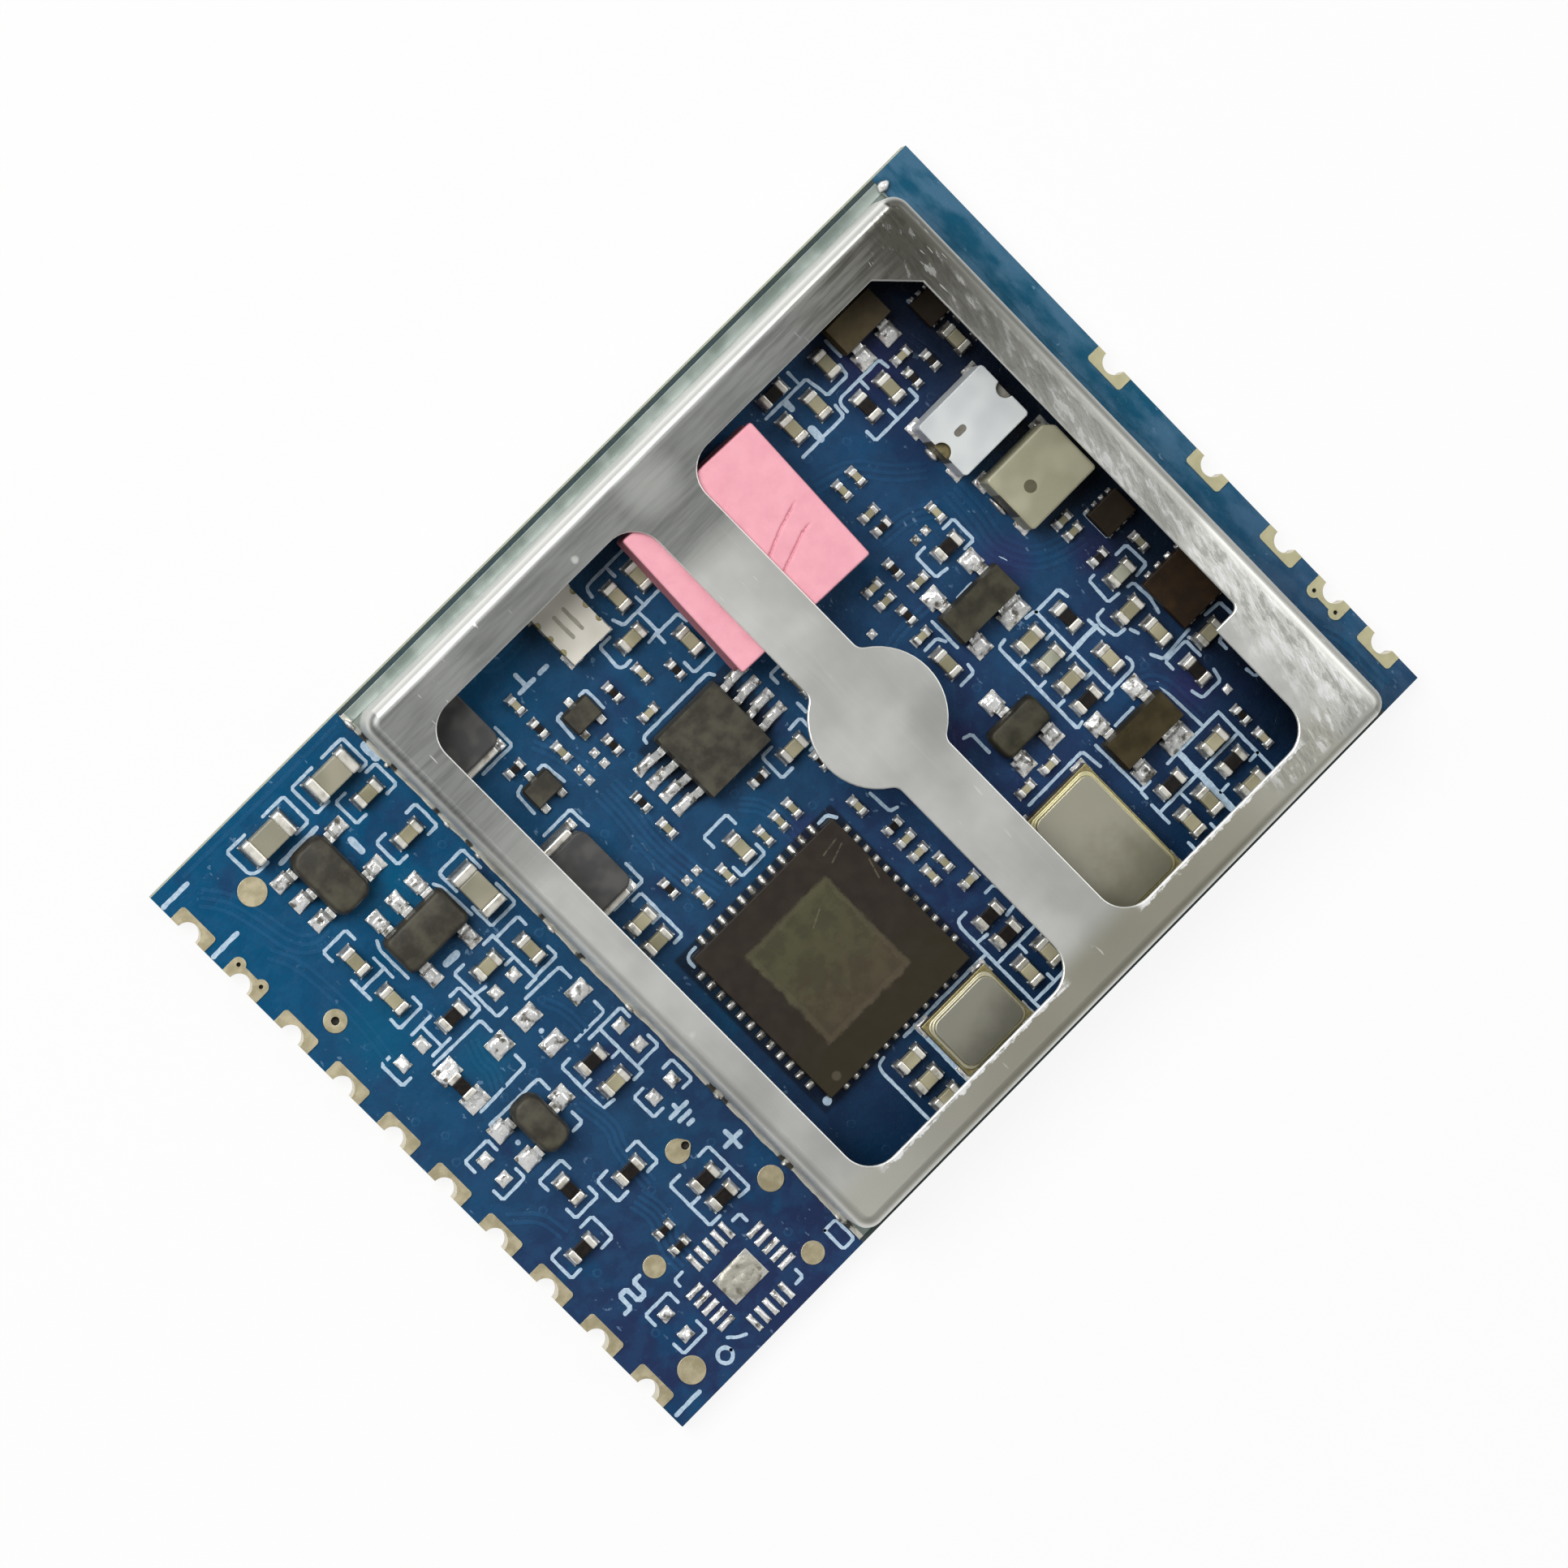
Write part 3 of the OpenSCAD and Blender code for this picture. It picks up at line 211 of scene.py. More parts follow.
def maskFinish(name, lift=0.0):
    look = maskLook
    material, place, facing = newFinish(name)
    x, y, z = place.axis("X"), place.axis("Y"), place.axis("Z")
    cloud = place.grain(0.22, 2.0)
    toTeal = ((y - x * 0.5) * 0.035 + cloud * 0.9).step(0.55, 1.15)
    toIndigo = ((0 - y) * 0.035 + cloud * 0.8).step(0.36, 0.86)
    mask = toTeal.mix(look["blue"], look["teal"])
    mask = (toIndigo * 0.8).mix(mask, look["indigo"])
    stain = place.grain(0.4, 3.0, 0.6)
    mask = (stain.step(0.54, 0.7) * 0.45).mix(mask, look["indigo"])
    mask = ((1 - stain).step(0.54, 0.7) * 0.45).mix(mask, look["teal"])
    copper = place.grain(1.1, 4.0, 0.6).step(0.42, 0.60)
    mask = (copper * 0.2 + lift).mix(mask, look["copper"])
    # painted shade over x 4.5 to 15.5 mm, where the second window lies under the shield
    mask = (window(x, look["deepFrom"], look["deepTo"], 0.5) * 0.22).mix(mask, look["deep"])
    mask = (place.grain(5.5, 3.0, 0.6).step(0.46, 0.6) * 0.12).mix(mask, look["indigo"])
    for spots, shade in ((look["purples"], look["purple"]), (look["seas"], look["sea"])):
        for spotX, spotY, reach in spots:
            away = apart(x, y, spotX, spotY) + stain * reach
            inSpot = 1 - away.step(0.2 * reach, reach * reach + reach * 0.6)
            mask = (inSpot * 0.55).mix(mask, shade)
    # painted shade in the far corner of the second window, by the rear and +Y walls
    inCornerShade = window(x, look["cornerX"], shieldHigh.x, 1.6) * window(y, look["cornerY"], shieldHigh.y, 2.6)
    mask = (inCornerShade * 0.5).mix(mask, look["corner"])
    streak = place.stretch(1.0, 0.4, 1.0).grain(1.6, 3.0).step(0.35, 0.65)
    toRear = x.step(shieldHigh.x, shieldHigh.x + 0.3) * (y.step(-11.0, 5.0) * 0.5 + 0.35)
    mask = toRear.mix(mask, streak.mix(look["behind"], look["behindPale"]))
    # painted glints: short light cyan dashes scattered over the mask
    glint = place.stretch(1.0, 0.6, 1.0).grain(4.6, 2.0).step(0.66, 0.72)
    glint = glint * place.grain(0.7, 1.0).step(0.47, 0.6)
    mask = (glint * 0.4).mix(mask, look["speck"])
    # painted shade round the decoder and between the leads of the amplifier
    for x0, y0, x1, y1, strength in look["fluxBoxes"]:
        mask = (window(x, x0, x1, 0.14) * window(y, y0, y1, 0.14) * strength).mix(mask, look["flux"])
    nearSide, nearRear = underShield(place)
    mask = (nearSide * 0.85).mix(mask, look["sideShade"])
    mask = (nearRear * 0.92).mix(mask, look["rearShade"])
    # beside the ground strip, along the shield, the mask turns to a dark grey line
    outside = y.size().step(look["rimFrom"], look["rimFrom"] + look["rimSoft"])
    beside = window(x, shieldLow.x - 0.1, shieldHigh.x + 0.1, 0.05) * outside
    mask = (beside * 0.9).mix(mask, look["rimLine"])
    side = 1 - facing.axis("Z").size().step(0.35, 0.7)
    layers = (z * 9.0).math("SINE", z * 42.0).step(-0.4, 0.9)
    glass = (layers * 0.5 + place.grain(9.0, 2.0) * 0.4).mix(look["glassLayer"], look["glassEdge"])
    skin = place.grain(2.4, 3.0) * 0.6 + copper * 0.5
    return setShader(material, {
        "Base Color": side.mix(mask, glass),
        "Roughness": side * 0.5 + place.grain(3.0, 2.0) * 0.12 + look["roughness"],
        "Normal": (skin + glint * 0.5).relief(0.45, 0.03),
        "Specular IOR Level": 0.26,
    })


goldLook = palette(worn="b4a988", pale="cbc0a1", rear="c8c49c", barrel="d9d3c0") | {
    "rearFrom": 16.0, "rearTo": 18.0,
}


def goldFinish():
    look = goldLook
    material, place, facing = newFinish("goldFlash")
    patch = place.grain(2.6, 4.0, 0.6)
    tone = patch.step(0.35, 0.7).mix(look["worn"], look["pale"])
    tone = (place.axis("X").step(look["rearFrom"], look["rearTo"]) * 0.7).mix(tone, look["rear"])
    wall = 1 - facing.axis("Z").size().step(0.3, 0.7)
    return setShader(material, {
        "Base Color": wall.mix(tone, look["barrel"]),
        "Metallic": 0.55,
        "Roughness": patch * 0.25 + 0.33,
        "Normal": place.grain(14.0, 3.0).relief(0.08, 0.02),
    })


rearShadeLook = {"tone": colour("2a2620"), "from": 14.9, "soft": 1.7, "strength": 0.5}


def rearShaded(place, tone):
    # painted shade on what stands close to the rear wall
    look = rearShadeLook
    near = (window(place.axis("X"), look["from"], shieldHigh.x - 0.1, look["soft"])
            * window(place.axis("Y"), shieldLow.y, shieldHigh.y, 0.1))
    return (near * look["strength"]).mix(tone, look["tone"])


def tinFinish(name, light, dark, roughness, lump, relief=0.5, metal=0.92, flankShade=None):
    # lump sets the size of the ripples, in ripples a mm; the flank tone darkens the steep flanks as painted
    # shade
    material, place, facing = newFinish(name)
    ripple = place.grain(lump, 3.0, 0.5)
    tone = ripple.step(0.32, 0.5).mix(colour(dark), colour(light))
    if flankShade:
        tone = facing.axis("Z").step(0.15, 0.62).mix(colour(flankShade), tone)
    return setShader(material, {
        "Base Color": rearShaded(place, tone),
        "Metallic": metal,
        "Roughness": ripple * 0.22 + roughness - 0.1,
        "Normal": ripple.relief(relief, 0.1),
    })


# the solder and the strip round the shield: dull, and on the front side a cream line with dark breaks
groundLook = palette(dull="76827b", pale="929c96", cream="d3d0c4", gap="45433b") | {
    "breaks": [(-5.45, 0.13), (-6.12, 0.1), (-8.98, 0.08), (-9.44, 0.08), (-12.4, 0.1), (1.15, 0.1),
               (3.1, 0.07), (6.75, 0.12), (8.35, 0.08), (10.48, 0.08), (11.98, 0.12)],
    "frontFrom": 0.02, "frontTo": 0.06,
}


def groundFinish(name):
    look = groundLook
    material, place = newFinish(name)[:2]
    x, y = place.axis("X"), place.axis("Y")
    cloud = place.grain(0.9, 2.0)
    ragged = place.grain(6.0, 2.0) * 0.3 - 0.15
    tone = cloud.step(0.35, 0.65).mix(look["dull"], look["pale"])
    line = (place.grain(2.2, 2.0).step(0.3, 0.55) * 0.3 + 0.7).mix(look["dull"], look["cream"])
    for at, reach in look["breaks"]:
        line = window(y + ragged, at - reach, at + reach, 0.1).mix(line, look["gap"])
    front = 1 - x.step(shieldLow.x + look["frontFrom"], shieldLow.x + look["frontTo"])
    return setShader(material, {
        "Base Color": front.mix(tone, line),
        "Metallic": 0.45,
        "Roughness": cloud * 0.1 + 0.4,
        "Normal": place.grain(3.0, 2.0).relief(0.15, 0.03),
    })


# the sheet's top, leg by leg: spots are x, y, reach and strength, cutEdges are where a window's cut shines;
# far and warm are tones of painted shade, fleck the white of painted glints and highlights
shieldLook = palette(
    grey="e0e1dc", dull="c9cac5", bright="f3f3ee", fold="8f8f8a", far="808280", farEnd="4e4c44",
    warm="aeab9a", warmEnd="d2d1c6", rearDark="5e5d55", rear="c8c8c2", rearPale="f6f6f0",
    nickDark="4f4d45", nickPale="a9a9a2", fleck="ffffff",
) | {
    "rearLegFrom": 14.2, "sideLegTo": -11.0, "roughness": 0.36, "scoreTurn": 0.26, "foldIn": 0.7,
    "stains": [(5.1, -1.6, 1.5, 0.3), (2.9, 4.6, 1.2, 0.15), (3.6, -11.6, 2.2, 0.1)],
    "gleams": [(3.5, 11.5, 1.5, 0.4), (-6.2, 11.6, 1.4, 0.15)],
    "scuffs": [(-0.2, 11.4, 0.16), (-8.9, -3.2, 0.14), (4.9, -3.3, 0.12)],
    "cutEdges": [(-7.3, 1.5), (5.6, 13.4)], "cutLine": -11.28, "cutWide": 0.13,
}


def legTones(place, flat, waver, mottle):
    # the long legs and the strut: painted shade on the far side, a warm painted shade on the near side,
    # darker spots and painted gleams
    look = shieldLook
    x, y = place.axis("X"), place.axis("Y")
    side = (1 - y.step(look["sideLegTo"] - 0.4, look["sideLegTo"] + 0.8)) * flat
    nearFront = 1 - x.step(-8.0, -6.5)
    # painted shade over the +Y side, deeper towards the rear leg
    far = y.step(7.6, 9.2).most(y.step(2.0, 9.0) * nearFront) * flat
    rolled = place.stretch(1.0, 0.06, 1.0).grain(4.5, 4.0, 0.6)
    crossed = place.stretch(0.08, 1.0, 1.0).grain(5.0, 3.0, 0.6)
    tone = mottle.step(0.3, 0.7).mix(look["dull"], look["grey"])
    tone = (rolled.step(0.5, 0.75) * 0.12).mix(tone, look["bright"])
    farTone = (x + waver).step(8.5, 15.0).mix(look["far"], look["farEnd"])
    tone = (far * (crossed.step(0.35, 0.7) * 0.2 + 0.78)).mix(tone, farTone)
    # the -Y leg in a warm painted shade
    warm = (0 - x).step(0.0, 9.0).most(x.step(9.0, 13.5) * 0.75).mix(look["warm"], look["warmEnd"])
    tone = (side * 0.95).mix(tone, warm)
    # darker spots, and gleams that are painted highlights
    for spots, shade in ((look["stains"], look["far"]), (look["gleams"], look["grey"])):
        for spotX, spotY, reach, strength in spots:
            away = apart(x, y, spotX, spotY) + mottle * 2
            tone = ((1 - away.step(0.5, reach * reach + 1)) * flat * strength).mix(tone, shade)
    return tone, side, rolled


def shieldFinish():
    look = shieldLook
    material, place, facing = newFinish("shieldSheet")
    x, y = place.axis("X"), place.axis("Y")
    up = facing.axis("Z")
    flat = up.step(0.5, 0.85)
    waver = place.grain(0.8, 3.0) * 2.0 - 1.0
    mottle = place.grain(0.28, 3.0, 0.5)
    rear = (x + waver * 0.8).step(look["rearLegFrom"], look["rearLegFrom"] + 1.4) * flat
    tone, side, rolled = legTones(place, flat, waver, mottle)
    # scores of the tool along the rear leg; the leg is painted darker at one end and lighter at the other,
    # as painted shade and painted light
    toEnd = (0 - y).step(-11.5, 1.0)
    toPale = window(0 - y, 4.0, 10.8, 1.6)
    tone = rear.mix(tone, toPale.mix(toEnd.mix(look["rearDark"], look["rear"]), look["rearPale"]))
    turned = place.node("ShaderNodeVectorRotate", {"rotation_type": "Z_AXIS"},
                        {"Vector": place, "Angle": look["scoreTurn"]})
    scores = turned.stretch(1.0, 0.3, 1.0).grain(3.6, 4.0, 0.62)
    streaks = place.stretch(1.0, 0.08, 1.0).grain(6.0, 3.0, 0.6)
    corner = side * (x + waver).step(11.4, 12.8)
    offFold = (1 - (x - shieldHigh.x).step(-0.62, -0.42)) * (y - shieldLow.y).step(0.4, 0.6)
    scored = rear.most(corner) * offFold
    nick = scored * (1 - scores).most(1 - streaks - toEnd * 0.2).step(0.52, 0.62) * 0.55
    tone = nick.mix(tone, toEnd.mix(look["nickDark"], look["nickPale"]))
    # white flecks along the scores: painted glints on the real pits
    paleSparkle = scores.step(0.53, 0.61) * toEnd * (toPale * 0.35 + 0.45)
    fleck = scored * paleSparkle.most(scores.step(0.6, 0.68) * 0.3)
    tone = fleck.mix(tone, look["fleck"])
    # the cut of the windows' near edges shines in broken stretches
    shine = fleck
    ragged = place.grain(2.4, 4.0, 0.7) * 0.5 - 0.25
    strip = window(y + ragged, look["cutLine"] - look["cutWide"], look["cutLine"] + 0.5, 0.04)
    broken = place.grain(3.4, 3.0).step(0.36, 0.56) * 0.7 + 0.3
    for cutFrom, cutTo in look["cutEdges"]:
        cut = window(x, cutFrom, cutTo, 0.4) * strip * broken
        tone = (cut * 0.95).mix(tone, look["fleck"])
        shine = shine.most(cut)
    # rounded edges: painted highlight at the windows, painted shade at the rear fold
    inside = (window(x, shieldLow.x + look["foldIn"], shieldHigh.x - look["foldIn"], 0.1)
              * y.step(shieldLow.y + look["foldIn"] - 0.1, shieldLow.y + look["foldIn"]))
    rounded = window(up, 0.25, 0.93, 0.05)
    tone = (rounded * inside * 0.8).mix(tone, look["bright"])
    tone = (rounded * (x - shieldHigh.x).step(-0.6, -0.5) * 0.6).mix(tone, look["fold"])
    scratch = place.stretch(1.0, 0.16, 1.0).grain(7.0, 1.0).step(0.72, 0.76)
    scratch = scratch * place.grain(0.6, 1.0).step(0.5, 0.62)
    for scuffX, scuffY, reach in look["scuffs"]:
        away = apart(x, y, scuffX, scuffY) + place.grain(5.0, 2.0) * 0.03
        scratch = scratch.most(1 - away.step(reach * reach * 0.5, reach * reach + 0.02))
    tone = (scratch * 0.6).mix(tone, look["bright"])
    fine = place.grain(26.0, 3.0, 0.6)
    wall = 1 - up.step(0.15, 0.8)
    return setShader(material, {
        "Base Color": tone,
        "Metallic": 0.95 - wall * 0.5 - shine * 0.4,
        "Roughness": fine * 0.1 + mottle * 0.08 + look["roughness"] - scored * 0.06,
        "Normal": (fine * 0.12 + rolled * 0.12 + scored * scores * 1.8).relief(0.35, 0.035),
    })


padLook = palette(top="f5b0bc", deep="efa5b3", side="bb7883", powder="fbd3da")


def padFinish():
    look = padLook
    material, place, facing = newFinish("thermalSilicone")
    # the sides are darker than the top: painted shade
    up = facing.axis("Z").step(0.35, 0.85)
    cloud = place.grain(1.3, 4.0, 0.6)
    tone = cloud.step(0.3, 0.75).mix(look["top"], look["deep"])
    tone = (place.grain(30.0, 2.0).step(0.62, 0.72) * 0.25).mix(tone, look["powder"])
    return setShader(material, {
        "Base Color": up.mix(look["side"], tone),
        "Roughness": place.grain(12.0, 2.0) * 0.2 + 0.62,
        "Normal": (place.grain(18.0, 3.0) * 0.6 + cloud * 0.6).relief(0.25, 0.04),
        "Specular IOR Level": 0.3,
    })


# the paler square on the decoder, in mm: x0, y0, x1, y1, and the scratches and the dot round it
decoderPanel = palette(warm="4d4232", cool="4d4c33", low="2e2710", scratch="6f6855") | {
    "square": (-5.46, -7.18, -1.59, -2.97), "soft": 0.16, "lowFrom": -7.0, "lowTo": -3.6,
    "dot": (-6.2, -8.2, 0.2),
    "scratches": [(-1.05, -2.35, -0.35, -2.25), (-1.0, -2.75, -0.3, -2.5),
                  (-0.2, -4.3, 0.0, -3.6), (-3.1, -3.9, -2.5, -3.6)],
}


def panelTone(panel, tone, place, facing, cloud):
    x0, y0, x1, y1 = panel["square"]
    soft = panel["soft"]
    top = facing.axis("Z").step(0.5, 0.9)
    ragged = place.grain(2.2, 4.0, 0.7) * 0.4 - 0.2
    x, y = place.axis("X"), place.axis("Y")
    nearX, nearY = x + ragged, y + ragged
    inside = window(nearX, x0, x1, soft) * window(nearY, y0, y1, soft) * top
    core = window(nearX, x0 + soft, x1 - soft, 0.06) * window(nearY, y0 + soft, y1 - soft, 0.06)
    toCool = (y + cloud * 4.0).step(y0 + 1.2, y1 + 1.4)
    toLow = 1 - (y + cloud * 3.0).step(panel["lowFrom"], panel["lowTo"])
    tone = (top * toLow * 0.7).mix(tone, panel["low"])
    fleck = place.grain(1.1, 4.0, 0.65).step(0.42, 0.62)
    tone = (inside * (fleck * 0.35 + 0.6)).mix(tone, toCool.mix(panel["warm"], panel["cool"]))
    tone = (inside * (1 - core) * 0.13).mix(tone, panel["scratch"])
    for ax, ay, bx, by in panel["scratches"]:
        run = math.hypot(bx - ax, by - ay)
        along = ((x - ax) * (bx - ax) + (y - ay) * (by - ay)) / run
        aside = ((x - ax) * (ay - by) + (y - ay) * (bx - ax)) / run
        line = window(along, 0.0, run, 0.05) * (1 - aside.size().step(0.01, 0.045))
        tone = (line * top * place.grain(6.0, 2.0).step(0.3, 0.6) * 0.6).mix(tone, panel["scratch"])
    dotX, dotY, reach = panel["dot"]
    dot = 1 - apart(x, y, dotX, dotY).step(reach * reach * 0.4, reach * reach)
    return (dot * top * 0.35).mix(tone, panel["scratch"])


mouldLook = palette(edge="17130d", shade="1a1006")


def mouldFinish(name, base, light, roughness, shine=0.3, panel=None):
    material, place, facing = newFinish(name)
    cloud = place.grain(1.5, 4.0, 0.55)
    tone = cloud.step(0.34, 0.7).mix(colour(base), colour(light))
    tone = (place.grain(34.0, 2.0, 0.7).step(0.55, 0.75) * 0.35).mix(tone, colour(light))
    tone = (place.grain(4.5, 4.0, 0.7).step(0.55, 0.7) * 0.3).mix(tone, colour(light))
    # a body's sloped sides and edges are darker than its top: painted shade
    tone = ((1 - facing.axis("Z").step(0.55, 0.97)) * 0.4).mix(tone, mouldLook["edge"])
    tone = (underShield(place)[1] * 0.75).mix(tone, mouldLook["shade"])
    if panel:
        tone = panelTone(panel, tone, place, facing, cloud)
    return setShader(material, {
        "Base Color": tone,
        "Roughness": cloud * 0.2 + roughness - 0.1,
        "Normal": (place.grain(42.0, 2.0, 0.7) * 0.3 + cloud * 0.7).relief(0.3, 0.03),
        "Specular IOR Level": shine,
    })


def ceramicTone(place, base, light, patchScale=0.7):
    tone = place.grain(patchScale, 1.0).step(0.35, 0.68).mix(colour(base), colour(light))
    return (place.grain(16.0, 3.0).step(0.5, 0.75) * 0.2).mix(tone, colour(light))


def setCeramic(material, place, tone, roughness):
    return setShader(material, {
        "Base Color": tone,
        "Roughness": place.grain(8.0, 2.0) * 0.2 + roughness - 0.1,
        "Normal": place.grain(22.0, 3.0).relief(0.2, 0.012),
    })


def ceramicFinish(name, base, light, roughness, patchScale=0.7):
    material, place = newFinish(name)[:2]
    return setCeramic(material, place, rearShaded(place, ceramicTone(place, base, light, patchScale)), roughness)


terminalLook = {"halfWide": 0.5, "deep": 0.42, "roughness": 0.36}


def terminalFinish(name, node, base, light, ends):
    # a ceramic block with metal in the hollows of its ends; ends: which end of X, its colour
    look = terminalLook
    material, place, facing = newFinish(name)
    low, high = boxOf(node)
    tone = ceramicTone(place, base, light)
    wall = 1 - facing.axis("Z").size().step(0.3, 0.6)
    centre = (low.y + high.y) / 2
    middle = window(place.axis("Y"), centre - look["halfWide"], centre + look["halfWide"], 0.06)
    for end, metal in ends:
        away = (place.axis("X") - (low.x if end < 0 else high.x)).size()
        tone = (wall * middle * (1 - away.step(look["deep"], look["deep"] + 0.08))).mix(tone, colour(metal))
    return setCeramic(material, place, tone, look["roughness"])


glazeLook = palette(dark="0d0907", light="1c1510", ceramic="8f8d86") | {"lowFrom": 0.05, "lowTo": 0.16}


def glazeFinish():
    # black glaze on top of a pale ceramic chip
    look = glazeLook
    material, place = newFinish("resistorGlaze")[:2]
    low = 1 - place.axis("Z").step(landTop + look["lowFrom"], landTop + look["lowTo"])
    tone = place.grain(6.0, 3.0).step(0.3, 0.75).mix(look["dark"], look["light"])
    return setShader(material, {
        "Base Color": (low * 0.7).mix(tone, look["ceramic"]),
        "Roughness": place.grain(12.0, 2.0) * 0.2 + 0.32,
        "Normal": place.grain(20.0, 2.0).relief(0.2, 0.01),
        "Specular IOR Level": 0.3,
    })


baseLook = palette(side="2b251c", sidePale="453c2d", seat="857a50", seatPale="a3986b")


def baseFinish():
    # dark ceramic with a metallised seat on top
    look = baseLook
    material, place, facing = newFinish("baseCeramic")
    seat = facing.axis("Z").step(0.6, 0.9)
    grit = place.grain(9.0, 3.0)
    side = grit.step(0.35, 0.7).mix(look["side"], look["sidePale"])
    return setShader(material, {
        "Base Color": seat.mix(side, grit.step(0.3, 0.7).mix(look["seat"], look["seatPale"])),
        "Metallic": seat * 0.6,
        "Roughness": grit * 0.2 + 0.34,
        "Normal": place.grain(22.0, 3.0).relief(0.2, 0.012),
    })


def lidFinish(name, node, dark, light, rim):
    # a pressed cover: its thin flange has its own pale tone, its shoulders carry a painted highlight
    material, place, facing = newFinish(name)
    low, high = boxOf(node)
    shoulder = window(facing.axis("Z"), 0.2, 0.96, 0.03) * 0.45
    edge = shoulder.most(1 - place.axis("Z").step(low.z + 0.1, low.z + 0.14))
    edge = edge * (place.grain(3.0, 3.0).step(0.2, 0.5) * 0.4 + 0.6)
    # darker towards the low-Y end: painted reflection of the shield's leg
    along = (place.axis("Y") - (low.y + high.y) / 2) / (high.y - low.y)
    toEnd = along + place.grain(0.8, 3.0, 0.6) * 0.7 - 0.35
    tone = toEnd.step(-0.5, 0.3).mix(colour(dark), colour(light))
    return setShader(material, {
        "Base Color": edge.mix(tone, colour(rim)),
        "Metallic": 0.7,
        "Roughness": place.grain(0.5, 2.0) * 0.12 + 0.42,
        "Normal": (place.grain(1.2, 3.0) + place.grain(20.0, 2.0) * 0.2).relief(0.2, 0.02),
    })


inkLook = palette(worn="9db8cf", fresh="c4d8e7", shade="4a5a70")


def inkFinish():
    look = inkLook
    material, place = newFinish("legendInk")[:2]
    wear = place.grain(7.0, 4.0, 0.65)
    tone = wear.step(0.3, 0.7).mix(look["worn"], look["fresh"])
    return setShader(material, {
        "Base Color": (underShield(place)[1] * 0.6).mix(tone, look["shade"]),
        "Roughness": wear * 0.2 + 0.5,
        "Normal": wear.relief(0.3, 0.01),
    })


finishes = {
    "mask": maskFinish("boardMask"),
    "track": maskFinish("trackMask", 0.28),
    "gold": goldFinish(),
    "land": tinFinish("tinLand", "d6d6d0", "9c9a90", 0.36, 3.0, 0.3, 0.6),
    "solder": tinFinish("solder", "fefefc", "7d7970", 0.24, 3.0, 0.7, 0.5, "827e73"),
    "dull": tinFinish("dullTin", "b9b6a9", "7c7869", 0.42, 2.6, 0.5, 0.4, "5a5548"),
    # the decoder's contacts wear a darker copy of the tin: painted shade
    "dim": tinFinish("dimTin", "6b675b", "37342b", 0.42, 3.0, 0.3, 0.4),
    "strip": groundFinish("groundTin"),
    "cap": tinFinish("terminalTin", "f4f1e6", "cdc7b8", 0.36, 2.6, 0.2, 0.6),
    "lead": tinFinish("leadTin", "fefefa", "7d796e", 0.26, 3.0, 0.7, 0.5, "3a372f"),
    "spark": tinFinish("smallTerminalTin", "fdfdf8", "d8d6ca", 0.3, 3.0, 0.3, 0.5),
    "shield": shieldFinish(),
    "pad": padFinish(),
    "mould": mouldFinish("chipMould", "35322a", "514e41", 0.5),
    "darkMould": mouldFinish("darkMould", "2a281c", "444132", 0.5),
    "decoder": mouldFinish("decoderMould", "261e15", "2e261d", 0.5, 0.3, decoderPanel),
    "brown": mouldFinish("brownMould", "2f2813", "413821", 0.5, 0.2),
    "deepBrown": mouldFinish("deepBrownMould", "1f1809", "2f2614", 0.5, 0.2),
    "russet": mouldFinish("russetMould", "2c1f10", "4d3414", 0.5, 0.2),
    "tan": mouldFinish("tanMould", "4a4029", "5a4f36", 0.5, 0.2),
    "white": terminalFinish("whiteCeramic", "band_filter_upper", "c6cacb", "d6dad9",
                            [(-1, "5d5335"), (1, "77776f")]),
    "grey": terminalFinish("greyCeramic", "band_filter_lower", "96937b", "aaa78e", [(-1, "54492e")]),
    "base": baseFinish(),
    "tallLid": lidFinish("oscillatorCover", "oscillator_lid", "85826f", "aba897", "d6cfa2"),
    "lowLid": lidFinish("crystalCover", "crystal_lid", "7b796d", "9b998c", "c9c4a8"),
    "ferrite": ceramicFinish("ferrite", "3b3a3a", "504f4d", 0.6, 1.4),
    "capacitor": ceramicFinish("capacitorCeramic", "8b866a", "b0a98b", 0.42, 0.55),
    "bulk": ceramicFinish("bulkCeramic", "8d8a77", "a7a28d", 0.42, 0.55),
    "glaze": glazeFinish(),
    "inductor": ceramicFinish("inductorCeramic", "8a8b78", "a9aa97", 0.45),
    "balun": ceramicFinish("balunCeramic", "c9c5b8", "dcd8cc", 0.45),
    "olive": tinFinish("oliveTin", "a39b72", "7d7552", 0.4, 3.0, 0.2, 0.4),
    "oldTin": tinFinish("oldTin", "857a55", "5c5336", 0.4, 3.0, 0.2, 0.4),
    "ink": inkFinish(),
    "bead": groundFinish("beadTin"),
    "plug": mouldFinish("viaResin", "15110b", "241d13", 0.6),
    "markDark": mouldFinish("markDark", "6d6a62", "8d897e", 0.6),
    "markFaint": mouldFinish("markFaint", "8f8b7f", "a4a093", 0.6),
    "markOlive": mouldFinish("markOlive", "6f6a52", "7f7a62", 0.6),
}
print("finishes made:", len(finishes))

